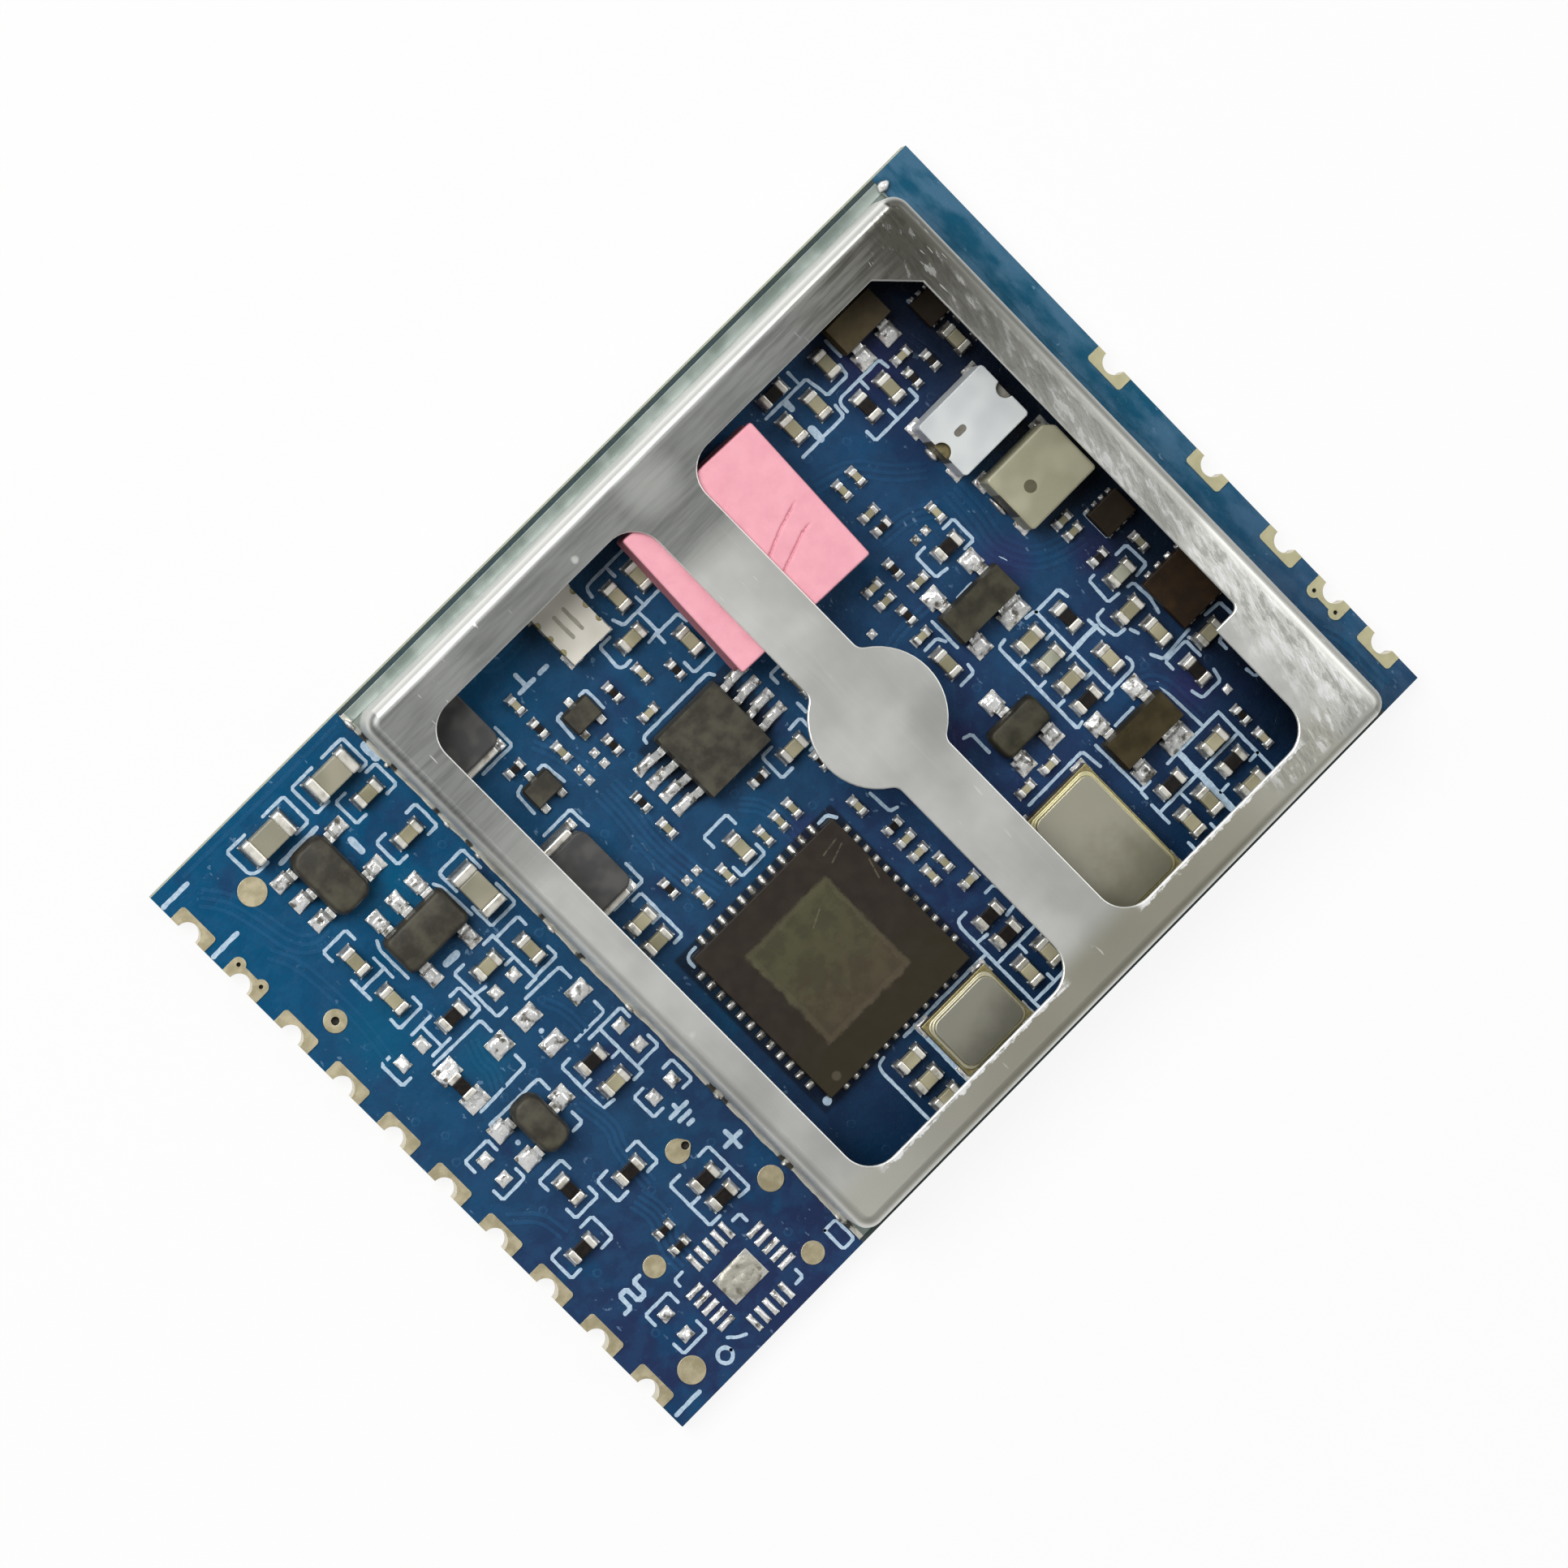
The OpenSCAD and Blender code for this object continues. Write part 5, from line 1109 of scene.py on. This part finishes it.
windowOutlines = [
    (-7.5, 8.1, -6.05, 8.1, -6.05, 8.95), (-6.85, 6.85, -7.15, 6.75, -7.2, 5.85),
    (-6.0, 6.85, -5.75, 6.85, -5.65, 5.9), (-4.05, 7.65, -4.3, 7.65, -4.35, 6.75),
    (-3.15, 7.65, -2.85, 7.65, -2.85, 6.75), (-7.5, 5.05, -6.2, 5.05, -6.15, 4.2),
    (-6.15, 2.3, -6.15, 1.45, -7.6, 1.45), ("cupX", -6.9, 1.2, -6.5, -0.9), (-6.95, 0.15, -6.55, 0.15),
    (-3.55, 0.5, -3.55, 1.0, -2.4, 1.0, -2.4, 0.55), ("cupY", -3.55, -0.5, -2.4, -0.95),
    ("cupX", 0.4, 1.55, -0.1, 0.5), ("cupX", 1.3, 1.55, 1.85, 0.5), (3.0, 3.4, 2.15, 3.4, 2.15, 3.0),
    (2.15, 2.0, 2.15, 1.5, 3.0, 1.5), (-7.0, -2.0, -7.0, -1.7, -6.85, -1.55, -6.5, -1.55),
    (-0.3, -1.55, 0.1, -1.55, 0.3, -1.85), (-2.65, 4.8, -2.6, 5.02, 0.6, 5.02, 0.75, 4.8),
    (-0.4, 9.8, -0.35, 10.1, -0.2, 10.2, 1.6, 10.2), (0.68, 10.1, 0.68, 9.75),
    (-0.45, 8.7, -0.3, 8.3, 1.6, 8.3), (0.7, 8.7, 0.7, 8.3),
    (-0.95, 8.35, -1.45, 8.35, -1.5, 7.4, -1.35, 7.25, -1.0, 7.25), (0.4, 8.3, 0.4, 7.3),
    (-0.1, 7.25, 0.45, 7.3), (0.3, 6.85, 0.3, 7.25, 1.35, 7.25, 1.4, 6.85),
    (0.3, 5.85, 0.3, 5.35, 1.4, 5.35, 1.4, 5.8), (1.75, -2.1, 1.8, -3.05, 2.1, -3.15),
    (-3.45, -9.1, 0.7, -9.1), ("wide", 0.2, -2.9, -9.1, -2.9, -12.0), (0.7, -7.8, 0.7, -12.0),
    (-4.5, -9.1, -4.8, -9.15, -4.9, -9.4, -4.9, -12.0, -4.6, -12.05),
    (1.2, -7.55, 0.8, -7.55, 0.7, -7.8, 0.7, -9.6), (2.2, -7.55, 2.6, -7.55, 2.7, -7.8, 2.7, -9.6),
    (0.7, -8.6, 1.2, -8.65), (2.2, -8.65, 2.7, -8.6), (0.7, -9.65, 2.9, -9.65),
    (1.75, -9.65, 1.75, -10.1), (1.75, -11.2, 1.75, -11.55), (0.7, -11.55, 2.9, -11.55),
    (2.9, -6.4, 2.9, -11.55), (8.4, 9.9, 10.4, 9.9, 10.5, 9.35, 10.55, 8.95, 11.55, 8.95, 11.6, 9.4),
    ("wide", 0.25, 9.3, 9.8, 9.3, 9.5), (8.4, 8.02, 10.45, 8.02, 10.5, 8.5),
    ("wide", 0.3, 9.3, 8.5, 9.3, 8.02), (11.85, 10.35, 11.85, 9.6), (10.1, 10.5, 10.1, 10.0),
    (10.65, 8.05, 10.65, 8.4, 10.8, 8.55, 12.75, 8.55, 12.8, 8.15), (11.75, 8.5, 11.75, 8.1),
    ("cupY", 10.65, 7.05, 12.8, 6.6), (11.75, 7.05, 11.75, 6.65), (14.95, 9.3, 14.95, 8.95),
    (14.95, 8.75, 14.95, 8.1), (9.25, 2.7, 8.8, 2.7, 8.8, 1.65, 9.3, 1.6),
    (10.2, 2.7, 10.7, 2.7, 10.7, 1.65, 10.25, 1.65), (7.6, 0.65, 7.6, -0.65), (8.85, 0.6, 9.55, 0.6),
    (10.9, 0.55, 11.0, 0.3), (6.7, 0.1, 7.3, 0.1, 7.45, -0.2), (6.75, -1.7, 7.4, -1.7, 7.45, -1.35),
    (9.0, -1.65, 8.65, -1.7, 8.65, -5.75, 8.95, -5.7),
    (10.1, -1.65, 10.5, -1.7, 10.5, -5.75, 10.1, -5.75), (8.65, -2.7, 9.0, -2.7),
    (8.65, -3.75, 9.0, -3.75), (8.65, -4.7, 9.0, -4.7), (10.1, -2.7, 10.5, -2.7),
    (10.1, -3.75, 10.5, -3.75), (10.1, -4.7, 10.5, -4.7), (10.5, -1.75, 11.65, -1.75, 11.7, -2.15),
    ("wide", 0.18, 10.55, -3.65, 11.7, -3.65), (11.65, -3.3, 11.7, -4.05),
    (10.55, -5.65, 11.6, -5.65, 11.75, -5.45, 11.7, -5.2),
    (12.3, -3.4, 11.95, -3.4, 11.85, -3.7, 11.95, -4.4, 12.35, -4.45),
    (13.5, -3.45, 13.75, -3.5, 13.8, -4.3, 13.65, -4.9),
    (12.9, -2.3, 12.65, -2.3, 12.6, -3.35, 13.1, -3.4),
    (14.0, -2.35, 14.5, -2.35, 14.55, -3.35, 14.0, -3.4), (14.2, -0.5, 14.2, -1.65),
    (14.0, -4.5, 14.0, -5.8), (12.6, -4.9, 12.5, -4.6), (12.4, -5.75, 12.6, -6.2, 14.0, -6.1),
    (12.6, -6.7, 12.6, -6.3, 13.65, -6.3, 13.65, -7.05),
    (12.55, -7.75, 12.65, -8.2, 13.55, -8.2, 13.65, -7.75),
    (14.8, -6.15, 15.5, -6.2, 15.5, -7.05, 14.5, -7.15, 14.5, -7.55), (13.8, -6.3, 13.95, -6.6),
    (14.5, -8.6, 14.55, -9.0, 15.2, -9.05), (5.5, -6.45, 8.2, -6.45, 8.3, -7.3), (8.7, -6.65, 8.75, -8.9),
    (11.85, -6.65, 11.95, -8.95), (9.7, -6.65, 10.6, -6.65), (8.7, -9.3, 8.7, -8.95, 9.2, -8.95),
    (10.1, -8.95, 12.7, -8.95), ("wide", 0.25, 10.65, -9.0, 10.65, -12.0), (12.7, -8.95, 12.7, -12.0),
    (8.65, -10.0, 12.6, -10.0), (8.65, -9.6, 8.65, -10.5), (9.7, -10.1, 9.7, -10.5),
    (8.65, -11.5, 8.65, -12.0, 10.7, -12.0), (9.7, -11.6, 9.7, -12.0), (10.75, -11.05, 11.15, -11.05),
    (12.3, -11.0, 12.7, -11.0), (5.5, -3.1, 5.8, -3.2, 5.8, -4.1),
]
# plain signs where the real board is lettered: an earth sign, a plus, a pulse, a ring
plainSigns = [
    ("wide", 0.17, -11.35, -5.2, -10.55, -5.2), ("wide", 0.17, -11.2, -5.5, -10.7, -5.5),
    ("wide", 0.17, -11.05, -5.8, -10.85, -5.8), ("wide", 0.17, -10.95, -5.2, -10.95, -4.95),
    ("wide", 0.17, -10.7, -7.3, -9.95, -7.3), ("wide", 0.17, -10.32, -6.92, -10.32, -7.68),
    ("wide", 0.17, -17.35, -8.95, -17.05, -8.95, -17.05, -8.35, -16.7, -8.35, -16.7, -8.95, -16.35,
     -8.95, -16.35, -8.35, -16.05, -8.35), ("wide", 0.17, -4.6, 9.2, -3.9, 9.2),
    ("wide", 0.17, -4.25, 9.2, -4.25, 9.75), ("wide", 0.17, -3.6, 9.2, -3.25, 9.2),
]
signRing = {"at": (-15.9, -12.55), "radius": 0.28, "width": 0.15, "points": 24}
stripDots = [(-12.4, 0.25, 0.1), (-15.75, -1.95, 0.1), (-9.5, 10.75, 0.11)]
windowDots = [(-7.0, -8.75, 0.17)]


def outlinePath(line):
    if line[0] == "cupX":
        x0, y0, x1, y1 = line[1:]
        return [(x0, y0), (x1, y0), (x1, y1), (x0, y1)]
    if line[0] == "cupY":
        x0, y0, x1, y1 = line[1:]
        return [(x0, y0), (x0, y1), (x1, y1), (x1, y0)]
    return list(zip(line[0::2], line[1::2]))


def ringLine(look):
    line = ["wide", look["width"]]
    (x, y), radius = look["at"], look["radius"]
    for k in range(look["points"] + 1):
        turn = 2 * math.pi * k / look["points"]
        line += [x + radius * math.cos(turn), y + radius * math.sin(turn)]
    return line


def legendPiece(name, lines, dots, seed):
    look = legendLook
    foot, top = boardTop - sunk, boardTop + look["thick"]
    bm = bmesh.new()
    for k, line in enumerate(lines):
        width = look["width"]
        if line[0] == "wide":
            width, line = line[1], line[2:]
        path = outlinePath(line)
        # corners are drawn a little round, as a printed line is
        soft = [path[0]]
        for before, here, after in zip(path, path[1:], path[2:]):
            for other in (before, after):
                run = math.dist(here, other)
                soft.append(between(here, other, min(look["corner"], run * 0.4) / run))
        soft.append(path[-1])
        lifted = top + look["lift"] * (k % look["lifts"])
        addRibbon(bm, spacedPath(soft, look["step"]), width, foot, lifted, look["wear"], seed + k)
    for x, y, radius in dots:
        addDot(bm, x, y, radius, foot, top + look["dotLift"])
    return newPiece(name, bm, "ink")


legendPiece("strip_legend", stripOutlines + plainSigns + [ringLine(signRing)], stripDots, 1.0)
legendPiece("window_legend", windowOutlines, windowDots, 60.0)
print("legend printed")

# copper tracks under the mask, as shallow ridges: middle line of a bundle, how many, how far apart
trackLook = {"width": 0.14, "rise": 0.016, "step": 0.25, "lift": 0.0005, "lifts": 5}
trackBundles = [
    ((-17.5, 12.0, -16.9, 11.2, -16.6, 9.9, -16.4, 8.6, -15.8, 8.0, -15.2, 8.0), 3, 0.3),
    ((-17.2, 8.9, -16.7, 7.9, -16.6, 5.0, -16.9, 3.2), 2, 0.32),
    ((-14.4, 1.7, -14.7, 0.9, -14.6, 0.5, -14.9, -0.1), 3, 0.22),
    ((-11.6, 0.9, -11.3, 0.2, -11.3, -0.8), 2, 0.24),
    ((-13.2, -2.6, -13.0, -4.0, -13.4, -4.6, -13.5, -6.3), 3, 0.24),
    ((-14.2, -6.4, -14.0, -7.4, -14.6, -8.4, -14.6, -9.2), 4, 0.24),
    ((-17.9, -3.6, -17.0, -4.4, -16.9, -5.4), 2, 0.3),
    ((-12.2, 7.6, -12.0, 6.9, -11.6, 6.9), 2, 0.26),
    ((-4.8, 4.6, -4.8, 3.6, -5.0, 2.2, -4.9, 0.6, -4.6, -0.8), 5, 0.24),
    ((-5.4, 7.6, -5.0, 6.6, -4.9, 5.2), 3, 0.24),
    ((-1.8, 0.9, -1.2, 0.2, -1.2, -1.3), 3, 0.22),
    ((-5.0, 11.0, -4.6, 10.4, -3.0, 10.5), 2, 0.3),
    ((11.4, 3.4, 11.35, 2.0, 11.1, 0.9, 11.6, -0.2, 12.4, -0.75, 13.6, -1.0), 4, 0.26),
    ((8.0, 7.0, 9.4, 6.6, 10.2, 5.4, 11.2, 4.6), 3, 0.26),
    ((8.3, 4.0, 9.6, 3.9, 10.6, 3.3), 3, 0.24),
    ((5.4, 0.9, 6.4, 1.2, 8.4, 1.1), 2, 0.26),
    ((12.9, 9.6, 13.9, 9.0, 14.2, 7.6, 14.2, 6.9), 3, 0.24),
    ((10.9, -6.1, 12.1, -6.4, 12.2, -8.6), 2, 0.28),
    ((17.6, 12.0, 17.75, 9.0, 17.55, 4.0, 17.75, -2.0), 1, 0.3),
    ((17.5, -9.6, 17.8, -10.4, 17.7, -12.6), 2, 0.26),
    ((-17.4, 12.95, -13.0, 12.92, -10.0, 12.95), 1, 0.3),
]


def movedAside(path, aside):
    moved = []
    for k, (x, y) in enumerate(path):
        ax, ay = path[max(k - 1, 0)]
        bx, by = path[min(k + 1, len(path) - 1)]
        run = math.hypot(bx - ax, by - ay)
        moved.append((x - (by - ay) / run * aside, y + (bx - ax) / run * aside))
    return moved


def trackPiece(name):
    look = trackLook
    bm = bmesh.new()
    for b, (line, count, pitch) in enumerate(trackBundles):
        path = spacedPath(smoothPath(outlinePath(line), 3), look["step"])
        for n in range(count):
            high = boardTop + look["rise"] + look["lift"] * ((b + n) % look["lifts"])
            track = movedAside(path, (n - (count - 1) / 2) * pitch)
            addRibbon(bm, track, look["width"], boardTop - sunk, high)
    return newPiece(name, bm, "track")


viaLook = {
    "count": 130, "radius": 0.17, "rise": 0.012, "dish": 0.014, "seed": 21,
    "edge": 0.7, "clear": 0.3, "apart": 0.7,
    "clearOf": ("strip_lands", "shielded_lands", "test_pads", "front_contacts", "rear_contacts",
                "decoder_contacts"),
}


def viaPiece(name):
    # tented vias: shallow dished rounds in the mask, clear of the lands and of each other
    look = viaLook
    edge, clear = look["edge"], look["clear"]
    drawn = random.Random(look["seed"])
    taken = [footBox(points, 1.0)[:4] for node in look["clearOf"] for points in looseSolids(node)]
    spots = []
    bm = bmesh.new()
    while len(spots) < look["count"]:
        x = drawn.uniform(boardLow.x + edge, boardHigh.x - edge)
        y = drawn.uniform(boardLow.y + edge, boardHigh.y - edge)
        onLand = any(x0 - clear <= x <= x1 + clear and y0 - clear <= y <= y1 + clear
                     for x0, y0, x1, y1 in taken)
        if not onLand and all(math.dist((x, y), spot) > look["apart"] for spot in spots):
            spots.append((x, y))
            addDot(bm, x, y, look["radius"], boardTop - sunk, boardTop + look["rise"], look["dish"])
    return newPiece(name, bm, "track")


# resin that stops the open vias: x, y, radius
plugLook = {
    "depth": 0.12, "top": landTop - 0.1, "dish": 0.03,
    "spots": [(-17.25, 5.65, 0.15), (-11.67, -6.25, 0.15), (-18.23, 8.335, 0.08), (-18.23, 9.445, 0.08),
              (18.23, -8.335, 0.08), (18.23, -9.445, 0.08)],
}


def plugPiece(name):
    look = plugLook
    bm = bmesh.new()
    for x, y, radius in look["spots"]:
        addDot(bm, x, y, radius, look["top"] - look["depth"], look["top"], look["dish"])
    return newPiece(name, bm, "plug")


trackPiece("board_tracks")
viaPiece("tented_vias")
plugPiece("via_plugs")
print("tracks laid")

# the soft pad: how far it lies turned, the rounding of its edges and corners, its waist and its two cracks
padShape = {
    "turn": -2.0, "cell": 0.035, "rounding": 0.1, "corner": 0.12, "waist": 0.1, "levels": 12, "slack": 0.018,
    "cracks": [[(4.30, 6.52), (4.90, 6.74), (5.58, 7.03), (6.17, 7.22), (6.85, 7.42)],
               [(4.35, 5.80), (4.95, 6.01), (5.49, 6.20), (6.17, 6.44), (6.75, 6.49)]],
    "crackWide": 0.045, "crackDeep": 0.1, "crackEnd": 0.5,
}


def toLine(x, y, path):
    # distance from a point to a path
    best = 99.0
    for (ax, ay), (bx, by) in zip(path, path[1:]):
        dx, dy = bx - ax, by - ay
        t = min(max(((x - ax) * dx + (y - ay) * dy) / (dx * dx + dy * dy), 0), 1)
        best = min(best, math.hypot(x - ax - dx * t, y - ay - dy * t))
    return best


def crackAt(x, y):
    look = padShape
    depth = 0
    for path in look["cracks"]:
        near = toLine(x, y, path) + 0.02 * lumps(x, y, 9, 2.0)
        toEnd = min(math.dist((x, y), path[0]), math.dist((x, y), path[-1]))
        groove = math.exp(-(near / look["crackWide"]) ** 2)
        depth += look["crackDeep"] * groove * softStep(toEnd / look["crackEnd"])
    return depth


def softPad(name):
    look = padShape
    corner, edge = look["corner"], look["rounding"]
    low, high = boxOf("thermal_pad")
    # the straight pad that fills this box when it is turned
    turn = math.radians(look["turn"])
    c, s = math.cos(turn), math.sin(turn)
    boxX, boxY = high.x - low.x, high.y - low.y
    padX = (boxX * c - boxY * abs(s)) / (c * c - s * s)
    padY = (boxY * c - boxX * abs(s)) / (c * c - s * s)
    middle = ((low.x + high.x) / 2, (low.y + high.y) / 2)
    land = (-padX / 2, -padY / 2, padX / 2, padY / 2)

    def topPoint(x, y):
        inside = insideRound(x, y, land, corner)
        if inside < 0:
            # a corner point is drawn in to the rounded outline
            centre = (min(max(x, land[0] + corner), land[2] - corner),
                      min(max(y, land[1] + corner), land[3] - corner))
            x, y = between(centre, (x, y), corner / math.dist(centre, (x, y)))
            inside = 0
        drop = edge - math.sqrt(max(0, edge ** 2 - max(0, edge - inside) ** 2))
        x, y = middle[0] + x * c - y * s, middle[1] + x * s + y * c
        wave = 0.012 * lumps(x, y, 1.7, 4.0) + 0.005 * lumps(x, y, 7, 8.0)
        return x, y, high.z - drop - look["slack"] + wave - crackAt(x, y)

    xs, ys = [np.linspace(-size / 2, size / 2, int(size / look["cell"]) + 1) for size in (padX, padY)]
    bm = bmesh.new()
    rim = gridSkin(bm, [[bm.verts.new(topPoint(x, y)) for x in xs] for y in ys])
    upper = rim
    for k in range(1, look["levels"] + 1):
        u = k / look["levels"]
        z = (high.z - edge) * (1 - u) + low.z * u
        pull = look["waist"] * math.sin(math.pi * u) + 0.02 * u
        lower = []
        for v in rim:
            ruffle = pull + 0.02 * lumps(v.co.x, v.co.y, 2, z * 2)
            share = 1 - ruffle / math.dist(v.co.xy, middle)
            lower.append(bm.verts.new((*between(middle, v.co.xy, share), z)))
        bridge(bm, lower, upper)
        upper = lower
    bm.faces.new(upper[::-1])
    piece = newPiece(name, bm, "pad", 60)
    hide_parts("thermal_pad")
    return piece


softPad("thermal_pad_soft")

# moulded bodies with round corners: radius of the corners, how far the top draws in
bodyLook = {
    "regulator_upper": (0.5, 0.2), "regulator_lower": (0.27, 0.18), "strip_transistor": (0.5, 0.2),
    "switch_transistor": (0.3, 0.16),
}
# levels of a body: height from its foot, as a share, height below its top in mm, share of the draw-in
bodyLevels = [(0.0, 0.0, 0.5), (0.45, 0.0, 0.0), (1.0, 0.14, 0.4), (1.0, 0.07, 0.55), (1.0, 0.02, 0.8),
              (1.0, 0.0, 1.15)]


def roundedRing(bm, low, high, inset, corner, z):
    # points of a rectangle with round corners, drawn in by inset
    reach = max(corner - inset * 0.4, 0.05)
    x0, y0 = low.x + inset + reach, low.y + inset + reach
    x1, y1 = high.x - inset - reach, high.y - inset - reach
    ring = []
    for quarter, (x, y) in enumerate(((x1, y1), (x0, y1), (x0, y0), (x1, y0))):
        for k in range(9):
            turn = math.pi / 2 * (quarter + k / 8)
            ring.append(bm.verts.new((x + reach * math.cos(turn), y + reach * math.sin(turn), z)))
    return ring


def mouldBody(node):
    corner, draw = bodyLook[node]
    low, high = boxOf(node)
    bm = bmesh.new()
    addStack(bm, [roundedRing(bm, low, high, draw * share, corner, low.z + (high.z - low.z) * part - drop)
                  for part, drop, share in bodyLevels])
    piece = newPiece(node + "_body", bm, worn[node][0])
    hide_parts(node)


for bodyNode in sorted(bodyLook):
    mouldBody(bodyNode)
print("bodies rounded")

# small marks on the parts' tops, and the plating in the grooves of their sides
markLook = {
    "thick": 0.01, "upperBar": [(12.68, 4.93), (12.93, 4.93)], "upperWide": 0.27,
    "lowerDot": (13.22, 1.78, 0.24),
    "balunBars": [[(-1.95, 9.35), (-1.95, 10.3)], [(-1.5, 9.35), (-1.5, 10.3)]], "balunWide": 0.14,
    "balunWear": 0.3, "balunSeed": 5.0,
}
platingLook = {
    "grooves": [-0.65, 0.0, 0.65], "grooveRadius": 0.126, "grooveDrop": 0.03,
    "endRadius": 0.318, "endDrop": 0.3, "foot": 0.01,
}


def addHalfPlug(bm, x, y, way, radius, low, high):
    # metal that fills a half-round groove in an upright side
    turns = [math.pi * k / 12 for k in range(13)]
    arc = [(x + way * radius * math.sin(t), y - radius * math.cos(t)) for t in turns]
    addStack(bm, [[bm.verts.new((*spot, z)) for spot in arc] for z in (low, high)])


def markPieces():
    look = markLook
    upper, lower, balun = [boxOf(node)[1].z for node in ("band_filter_upper", "band_filter_lower", "balun")]
    bm = bmesh.new()
    addRibbon(bm, spacedPath(look["upperBar"], 0.06), look["upperWide"], upper - sunk, upper + look["thick"])
    newPiece("upper_filter_mark", bm, "markDark")
    bm = bmesh.new()
    addDot(bm, *look["lowerDot"], lower - sunk, lower + look["thick"])
    newPiece("lower_filter_mark", bm, "markOlive")
    bm = bmesh.new()
    for bar in look["balunBars"]:
        addRibbon(bm, spacedPath(bar, 0.1), look["balunWide"], balun - sunk, balun + look["thick"],
                  look["balunWear"], look["balunSeed"])
    newPiece("balun_marks", bm, "markFaint")


def platingPieces():
    # plating in the grooves of the balun's long sides and of the upper filter's ends
    look = platingLook
    low, high = boxOf("balun")
    foot, top, centre = low.z + look["foot"], high.z - look["grooveDrop"], (low.y + high.y) / 2
    bm = bmesh.new()
    for x, way in ((low.x, 1), (high.x, -1)):
        for groove in look["grooves"]:
            addHalfPlug(bm, x, centre + groove, way, look["grooveRadius"], foot, top)
    newPiece("balun_plating", bm, "olive")
    low, high = boxOf("band_filter_upper")
    foot, top, centre = low.z + look["foot"], high.z - look["endDrop"], (low.y + high.y) / 2
    for end, x, way, finish in (("front", low.x, 1, "oldTin"), ("rear", high.x, -1, "dull")):
        bm = bmesh.new()
        addHalfPlug(bm, x, centre, way, look["endRadius"], foot, top)
        newPiece("filter_plating_" + end, bm, finish)


markPieces()
platingPieces()
print("marks made")

# camera in mm, with the direction that lies to the right in the picture
cameraLook = {
    "at": (-19.88, 28.53, 214.97), "aim": (-0.2, 0.31, 1.0), "right": (1.0, -1.0, 0.0), "lens": 141.0,
    "sensor": 36.0, "clip": (5.0, 5000.0),
}


def addCamera(look):
    at, aim = Vector(look["at"]) * mm, Vector(look["aim"]) * mm
    back = (at - aim).normalized()
    right = Vector(look["right"])
    right = (right - back * right.dot(back)).normalized()
    turn = Matrix((right, back.cross(right), back)).transposed()
    camera = bpy.data.objects.new("camera", bpy.data.cameras.new("camera"))
    camera.matrix_world = Matrix.Translation(at) @ turn.to_4x4()
    camera.data.lens = look["lens"]
    camera.data.sensor_width = look["sensor"]
    camera.data.clip_start, camera.data.clip_end = [reach * mm for reach in look["clip"]]
    bpy.context.scene.collection.objects.link(camera)
    bpy.context.scene.camera = camera


stageLook = {"side": 1200.0, "drop": 0.02, "cells": 8, "tone": (0.86, 0.86, 0.86, 1.0), "glow": 0.88}


def floorFinish(look):
    # matt for the light that falls on it, and near white where it is seen
    material = bpy.data.materials.new("paleFloor")
    material.use_nodes = True
    tree = material.node_tree
    start = Link(tree)
    seen, glossy, through = [start.node("ShaderNodeLightPath", out="Is " + kind + " Ray")
                             for kind in ("Camera", "Glossy", "Transmission")]
    white = start.node("ShaderNodeEmission", {}, {"Color": (1.0, 1.0, 1.0, 1.0), "Strength": 1.0})
    matt = start.node("ShaderNodeBsdfDiffuse", {}, {"Color": look["tone"]})
    share = seen.most(glossy).most(through) * look["glow"]
    both = start.node("ShaderNodeMixShader", {}, {0: share, 1: matt, 2: white})
    tree.links.new(both.socket, tree.nodes["Material Output"].inputs["Surface"])
    return material


def addFloor(look):
    bm = bmesh.new()
    bmesh.ops.create_grid(bm, x_segments=look["cells"], y_segments=look["cells"], size=look["side"] / 2 * mm)
    mesh = bpy.data.meshes.new("floor")
    bm.to_mesh(mesh)
    bm.free()
    mesh.materials.append(floorFinish(look))
    floor = bpy.data.objects.new("floor", mesh)
    floor.location.z = -look["drop"] * mm
    bpy.context.scene.collection.objects.link(floor)


# lamps: place in mm, size in mm, power in watts
lamps = {
    "key": ((-70.0, 230.0, 360.0), 260.0, 1.6),
    "fill": ((300.0, -120.0, 340.0), 320.0, 0.6),
}


def addLamp(name, place, side, power):
    lamp = bpy.data.lights.new(name, "AREA")
    lamp.shape = "SQUARE"
    lamp.size = side * mm
    lamp.energy = power
    holder = bpy.data.objects.new(name, lamp)
    holder.location = Vector(place) * mm
    holder.rotation_euler = (-Vector(place)).to_track_quat("-Z", "Y").to_euler()
    bpy.context.scene.collection.objects.link(holder)


# grey of the room from the horizon up: height, tone
skyLook = [(0.0, (0.6, 0.6, 0.6, 1.0)), (0.35, (0.3, 0.3, 0.3, 1.0)), (0.9, (0.1, 0.1, 0.1, 1.0))]


def addSky(stops):
    world = bpy.data.worlds.new("softRoom")
    bpy.context.scene.world = world
    world.use_nodes = True
    start = Link(world.node_tree)
    height = start.node("ShaderNodeTexCoord", out="Generated").axis("Z")
    tone = start.node("ShaderNodeValToRGB", {"stops": stops}, {0: height})
    world.node_tree.links.new(tone.socket, world.node_tree.nodes["Background"].inputs["Color"])


addCamera(cameraLook)
addFloor(stageLook)
for lampName, lampLook in lamps.items():
    addLamp(lampName, *lampLook)
addSky(skyLook)
bpy.context.scene.view_settings.view_transform = "Standard"
print("stage set")
